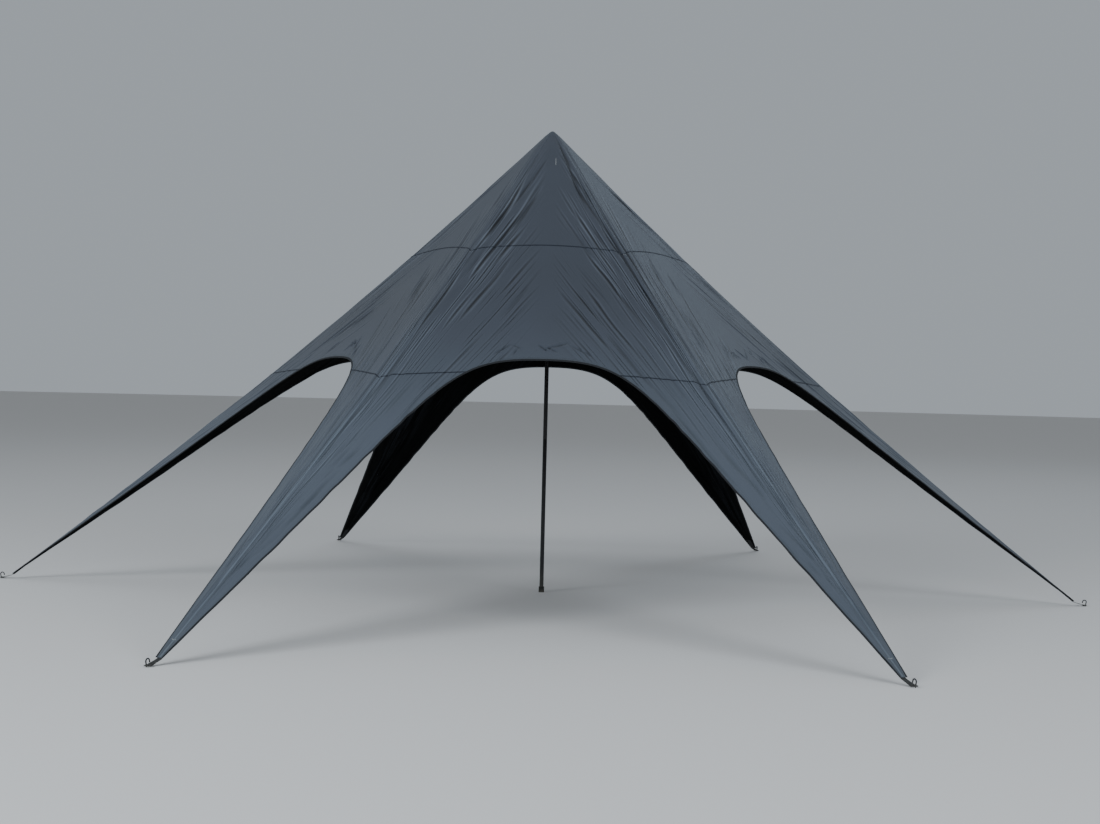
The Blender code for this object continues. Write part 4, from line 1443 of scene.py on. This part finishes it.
def make_pole(materials):
    seats = (FOOT_BASE + CLEARANCE,) + POLE_JOINTS
    tops = POLE_JOINTS + (POLE_TOP,)
    for name, bottom, top in zip(("lower", "middle", "upper"), seats, tops):
        mesh = turned_mesh(f"pole_{name}_tube", tube_profile(bottom, top, top != POLE_TOP))
        settle(new_object(f"pole_{name}_tube", mesh, [materials["pole"]]), "pole_steel", f"pole_{name}")
    for name, height in zip(("lower", "upper"), POLE_JOINTS):
        mesh = turned_mesh(f"{name}_catch", catch_profile(), 24)
        place = Matrix.Translation((0, -POLE_RADIUS, height + CATCH_ABOVE_JOINT))
        mesh.transform(place @ Matrix.Rotation(math.pi / 2, 4, "X"))
        settle(new_object(f"{name}_catch", mesh, [materials["fitting"]]), "fitting_steel")
    mesh = turned_mesh("pole_foot_cup", foot_profile())
    settle(new_object("pole_foot_cup", mesh, [materials["rubber"]]), "foot_rubber", "pole_foot")
    mesh = turned_mesh("pole_head_cap", head_profile())
    settle(new_object("pole_head_cap", mesh, [materials["plastic"]]), "head_plastic", "pole_head")


def cap_area(radius):
    """Area of the cloth within a distance of the pole's axis."""
    angles = np.linspace(0, math.tau, 73)
    reach = radius * np.linspace(0.001, 1, 25)
    places = reach[:, None] * np.exp(1j * angles)[None, :]
    return sheet_area(places.ravel(), grid_quads(np.arange(places.size).reshape(places.shape)))


def make_peak(materials):
    patch = polar_cap("peak_patch_cloth", PEAK_PATCH_RADIUS, 8, 72, materials["hem"])
    settle(patch, "canopy_cloth", "peak_patch")
    area = cap_area(PEAK_PATCH_RADIUS)


def make_stage():
    """A plain pale floor under plain soft light."""
    floor = bpy.data.objects.new("floor", bpy.data.meshes.new("floor"))
    work = bmesh.new()
    bmesh.ops.create_circle(work, cap_ends=True, segments=96, radius=FLOOR_RADIUS)
    work.to_mesh(floor.data)
    work.free()
    bpy.context.collection.objects.link(floor)
    material, _, shader, _ = new_material("pale_floor", 0.9, specular=0.1)
    shader.inputs["Base Color"].default_value = FLOOR_COLOUR
    floor.data.materials.append(material)
    world = bpy.data.worlds.new("pale_studio")
    world.use_nodes = True
    back = world.node_tree.nodes["Background"].inputs
    back["Color"].default_value = (*SKY_COLOUR, 1)
    back["Strength"].default_value = SKY_STRENGTH
    bpy.context.scene.world = world


def soft_light(name, place, size, power, colour, glossy=True):
    """A square area light that faces the middle of the canopy. One that isn't glossy makes no sheen."""
    data = bpy.data.lights.new(name, "AREA")
    data.shape, data.size, data.energy, data.color = "SQUARE", size, power, colour
    light = bpy.data.objects.new(name, data)
    light.location = place
    light.visible_glossy = glossy
    light.rotation_euler = (Vector(LIGHTS_AIM) - light.location).to_track_quat("-Z", "Y").to_euler()
    bpy.context.collection.objects.link(light)


def make_lights():
    soft_light("overhead_light", (0.0, 1.0, 26.0), 24.0, 450.0, SKY_COLOUR)
    soft_light("rear_right_light", (13.0, 17.0, 18.0), 9.0, 290.0, BLUE_SKY_COLOUR)
    soft_light("rear_left_light", (-13.0, 17.0, 18.0), 9.0, 60.0, BLUE_SKY_COLOUR)
    soft_light("front_right_light", (12.0, -15.0, 9.0), 9.0, 1850.0, SKY_COLOUR, glossy=False)
    soft_light("front_left_light", (-12.0, -15.0, 9.0), 9.0, 3250.0, SKY_COLOUR, glossy=False)


def make_camera():
    """The camera, turned from looking along +Y by its yaw, pitch and roll."""
    data = bpy.data.cameras.new("camera")
    data.sensor_width = SENSOR_WIDTH
    data.lens = FOCAL_PIXELS * SENSOR_WIDTH / IMAGE_WIDTH
    data.clip_end = 2 * FLOOR_RADIUS
    camera = bpy.data.objects.new("camera", data)
    turn = Matrix.Rotation(-CAMERA_YAW, 4, "Z") @ Matrix.Rotation(math.pi / 2 + CAMERA_PITCH, 4, "X")
    camera.matrix_world = Matrix.Translation(CAMERA_PLACE) @ turn @ Matrix.Rotation(CAMERA_ROLL, 4, "Z")
    bpy.context.collection.objects.link(camera)
    bpy.context.scene.camera = camera


materials = make_materials()
make_camera()
make_pole(materials)
make_peak(materials)
make_fittings(materials)
make_bays(materials)
make_legs(materials)
make_edges(materials)
make_stitches(materials)
make_stage()
make_lights()
